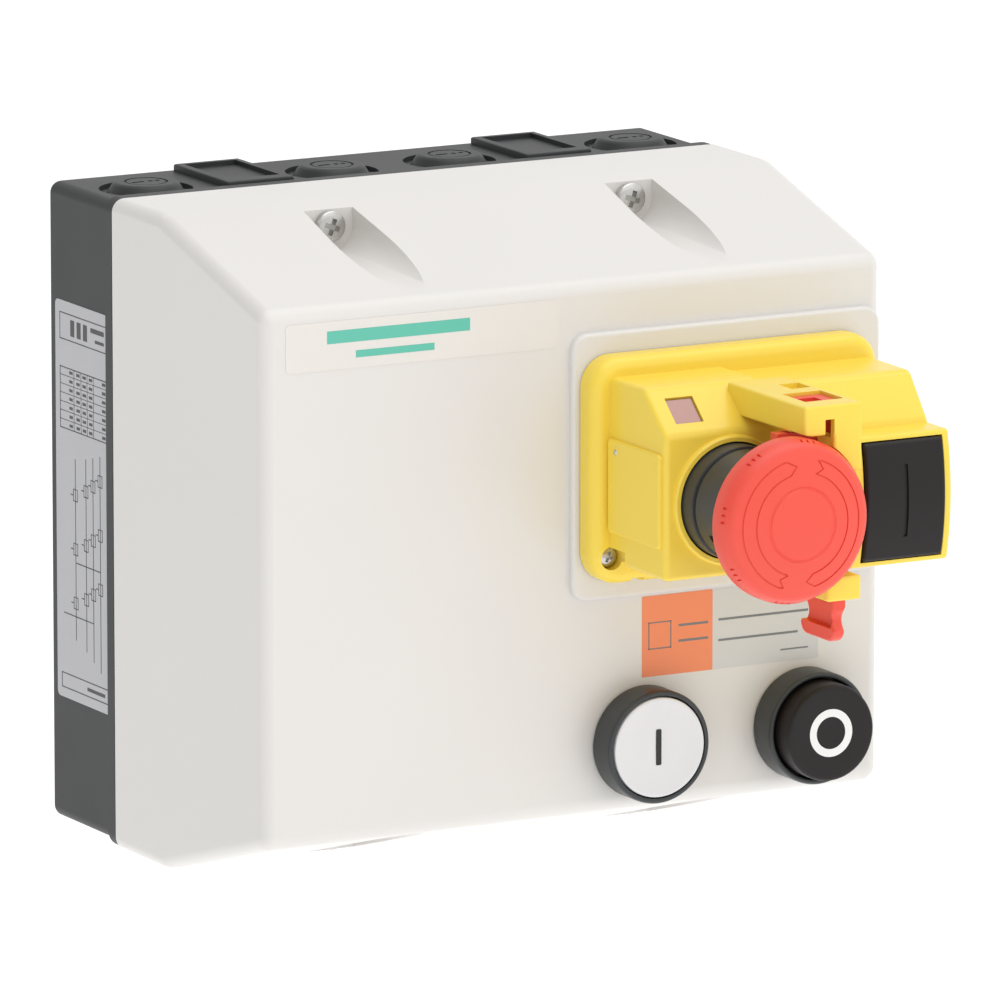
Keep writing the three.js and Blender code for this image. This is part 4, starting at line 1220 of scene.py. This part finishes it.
def make_caution_label():
    """An orange field and a pale field with plain rules for lines of text."""
    low, split, high = (19, -34.5), 39.3, (70, -13.8)
    orange = plate("label_orange_field", low, (split, high[1]), "Y", front_y, 0.09, 0.3)
    finish_piece(orange, "cover", "ivory_plastic", paint="label_orange")
    pale = plate("label_pale_field", (split, low[1]), high, "Y", front_y, 0.09, 0.3)
    finish_piece(pale, "cover", "ivory_plastic", paint="label_pale")
    drawn = [((29.5, -22.4), (38, -21.8)), ((29.5, -26.4), (38, -25.8))]
    drawn += outline_marks((20.8, -27.6), (27.4, -20.6), 0.3)
    drawn += [((41, -22.1), (67, -21.5)), ((41, -27.4), (64, -26.8)), ((59, -31.6), (67, -31.2))]
    ink = marks("label_marks", drawn, "Y", front_y - 0.09)
    return finish_piece(ink, "cover", "black_plastic", paint="ink_grey")


# ---------- the carried-over CAD nodes
def finish_cad_nodes():
    slots = {s["node"]: s["material_slot"] for s in frame["record"]["subparts"]}
    for name, node in frame["nodes"].items():
        node.data.materials.clear()
        node.data.materials.append(MATERIALS[slots[name]])
        weld(node)
        add_edge_rounding(node, 0.25)


# ---------- camera, light and floor
def make_camera():
    """A long lens, left of and above the front, aimed at the cover."""
    yaw = math.radians(28.425)
    pitch = math.radians(11.353)
    distance = 3054.9 * MM
    aim = Vector((-half_width + 66.5, front_y, 14.86)) * MM
    forward = Vector((math.sin(yaw) * math.cos(pitch), math.cos(yaw) * math.cos(pitch), -math.sin(pitch)))
    data = bpy.data.cameras.new("camera")
    data.sensor_width = 36
    data.lens = 441.93
    data.clip_end = 50
    camera = bpy.data.objects.new("camera", data)
    scene.collection.objects.link(camera)
    camera.location = aim - forward * distance
    camera.rotation_euler = forward.to_track_quat("-Z", "Y").to_euler()
    scene.camera = camera


def area_light(name, place, target, size, power, colour=(1, 1, 1)):
    data = bpy.data.lights.new(name, "AREA")
    data.shape = "RECTANGLE"
    data.size, data.size_y = size
    data.energy = power
    data.color = colour
    light = bpy.data.objects.new(name, data)
    scene.collection.objects.link(light)
    light.location = place
    light.rotation_euler = (Vector(target) - Vector(place)).to_track_quat("-Z", "Y").to_euler()


def make_floor():
    """A pale floor, bright enough to stay white behind the object."""
    floor_z = -0.42
    reach = 12
    corners = [(-reach, -reach), (reach, -reach), (reach, reach), (-reach, reach)]
    floor = new_object("floor", [(x, y, floor_z) for x, y in corners], [[0, 1, 2, 3]])
    n = Nodes("floor")
    tint = n.mixed(n.ranged(n.noise(2, 2), 0, 1), (0.9, 0.9, 0.9), (0.93, 0.93, 0.93))
    n.feed("Base Color", tint)
    n.feed("Roughness", 0.9)
    n.feed("Emission Color", (1, 1, 1, 1))
    n.feed("Emission Strength", 0.35)
    floor.data.materials.append(n.material)


def make_world():
    """A white room, dimmer on the object's left."""
    world = bpy.data.worlds.new("studio")
    world.use_nodes = True
    tree = world.node_tree
    background = tree.nodes["Background"]
    place = tree.nodes.new("ShaderNodeTexCoord")
    split = tree.nodes.new("ShaderNodeSeparateXYZ")
    spread = tree.nodes.new("ShaderNodeMapRange")
    for limit, value in (("From Min", -1), ("From Max", 0.6), ("To Min", 0.42), ("To Max", 0.98)):
        spread.inputs[limit].default_value = value
    tree.links.new(place.outputs["Generated"], split.inputs["Vector"])
    tree.links.new(split.outputs["X"], spread.inputs["Value"])
    tree.links.new(spread.outputs["Result"], background.inputs["Strength"])
    background.inputs["Color"].default_value = (1, 1, 1, 1)
    scene.world = world


def make_lights():
    target = (0, -0.1, 0)
    area_light("key", (0.3, -2.2, 1.5), target, (2.6, 2.0), 7)
    area_light("strip", (-1.9, -2.0, 0.9), target, (0.35, 1.6), 3)
    area_light("top", (0.2, -0.5, 1.9), target, (2.2, 1.6), 15)
    scene.view_settings.view_transform = "Standard"


# ---------- putting it together
make_camera()
finish_cad_nodes()
make_cover()
make_back_box()
for number, x in enumerate(KNOCKOUT_X, start=1):
    for up in (1, -1):
        make_knockout(x, up, number)
for node in screw_nodes + housing_screw_nodes:
    make_screw(node, "cover")
make_housing()
make_lens()
make_rivet()
make_slide()
make_mushroom()
make_collar()
make_isolator_button()
make_bezel("start", start)
make_bezel("stop", stop)
make_start_cap()
make_stop_cap()
make_side_label()
make_film_label()
make_caution_label()
make_floor()
make_world()
make_lights()
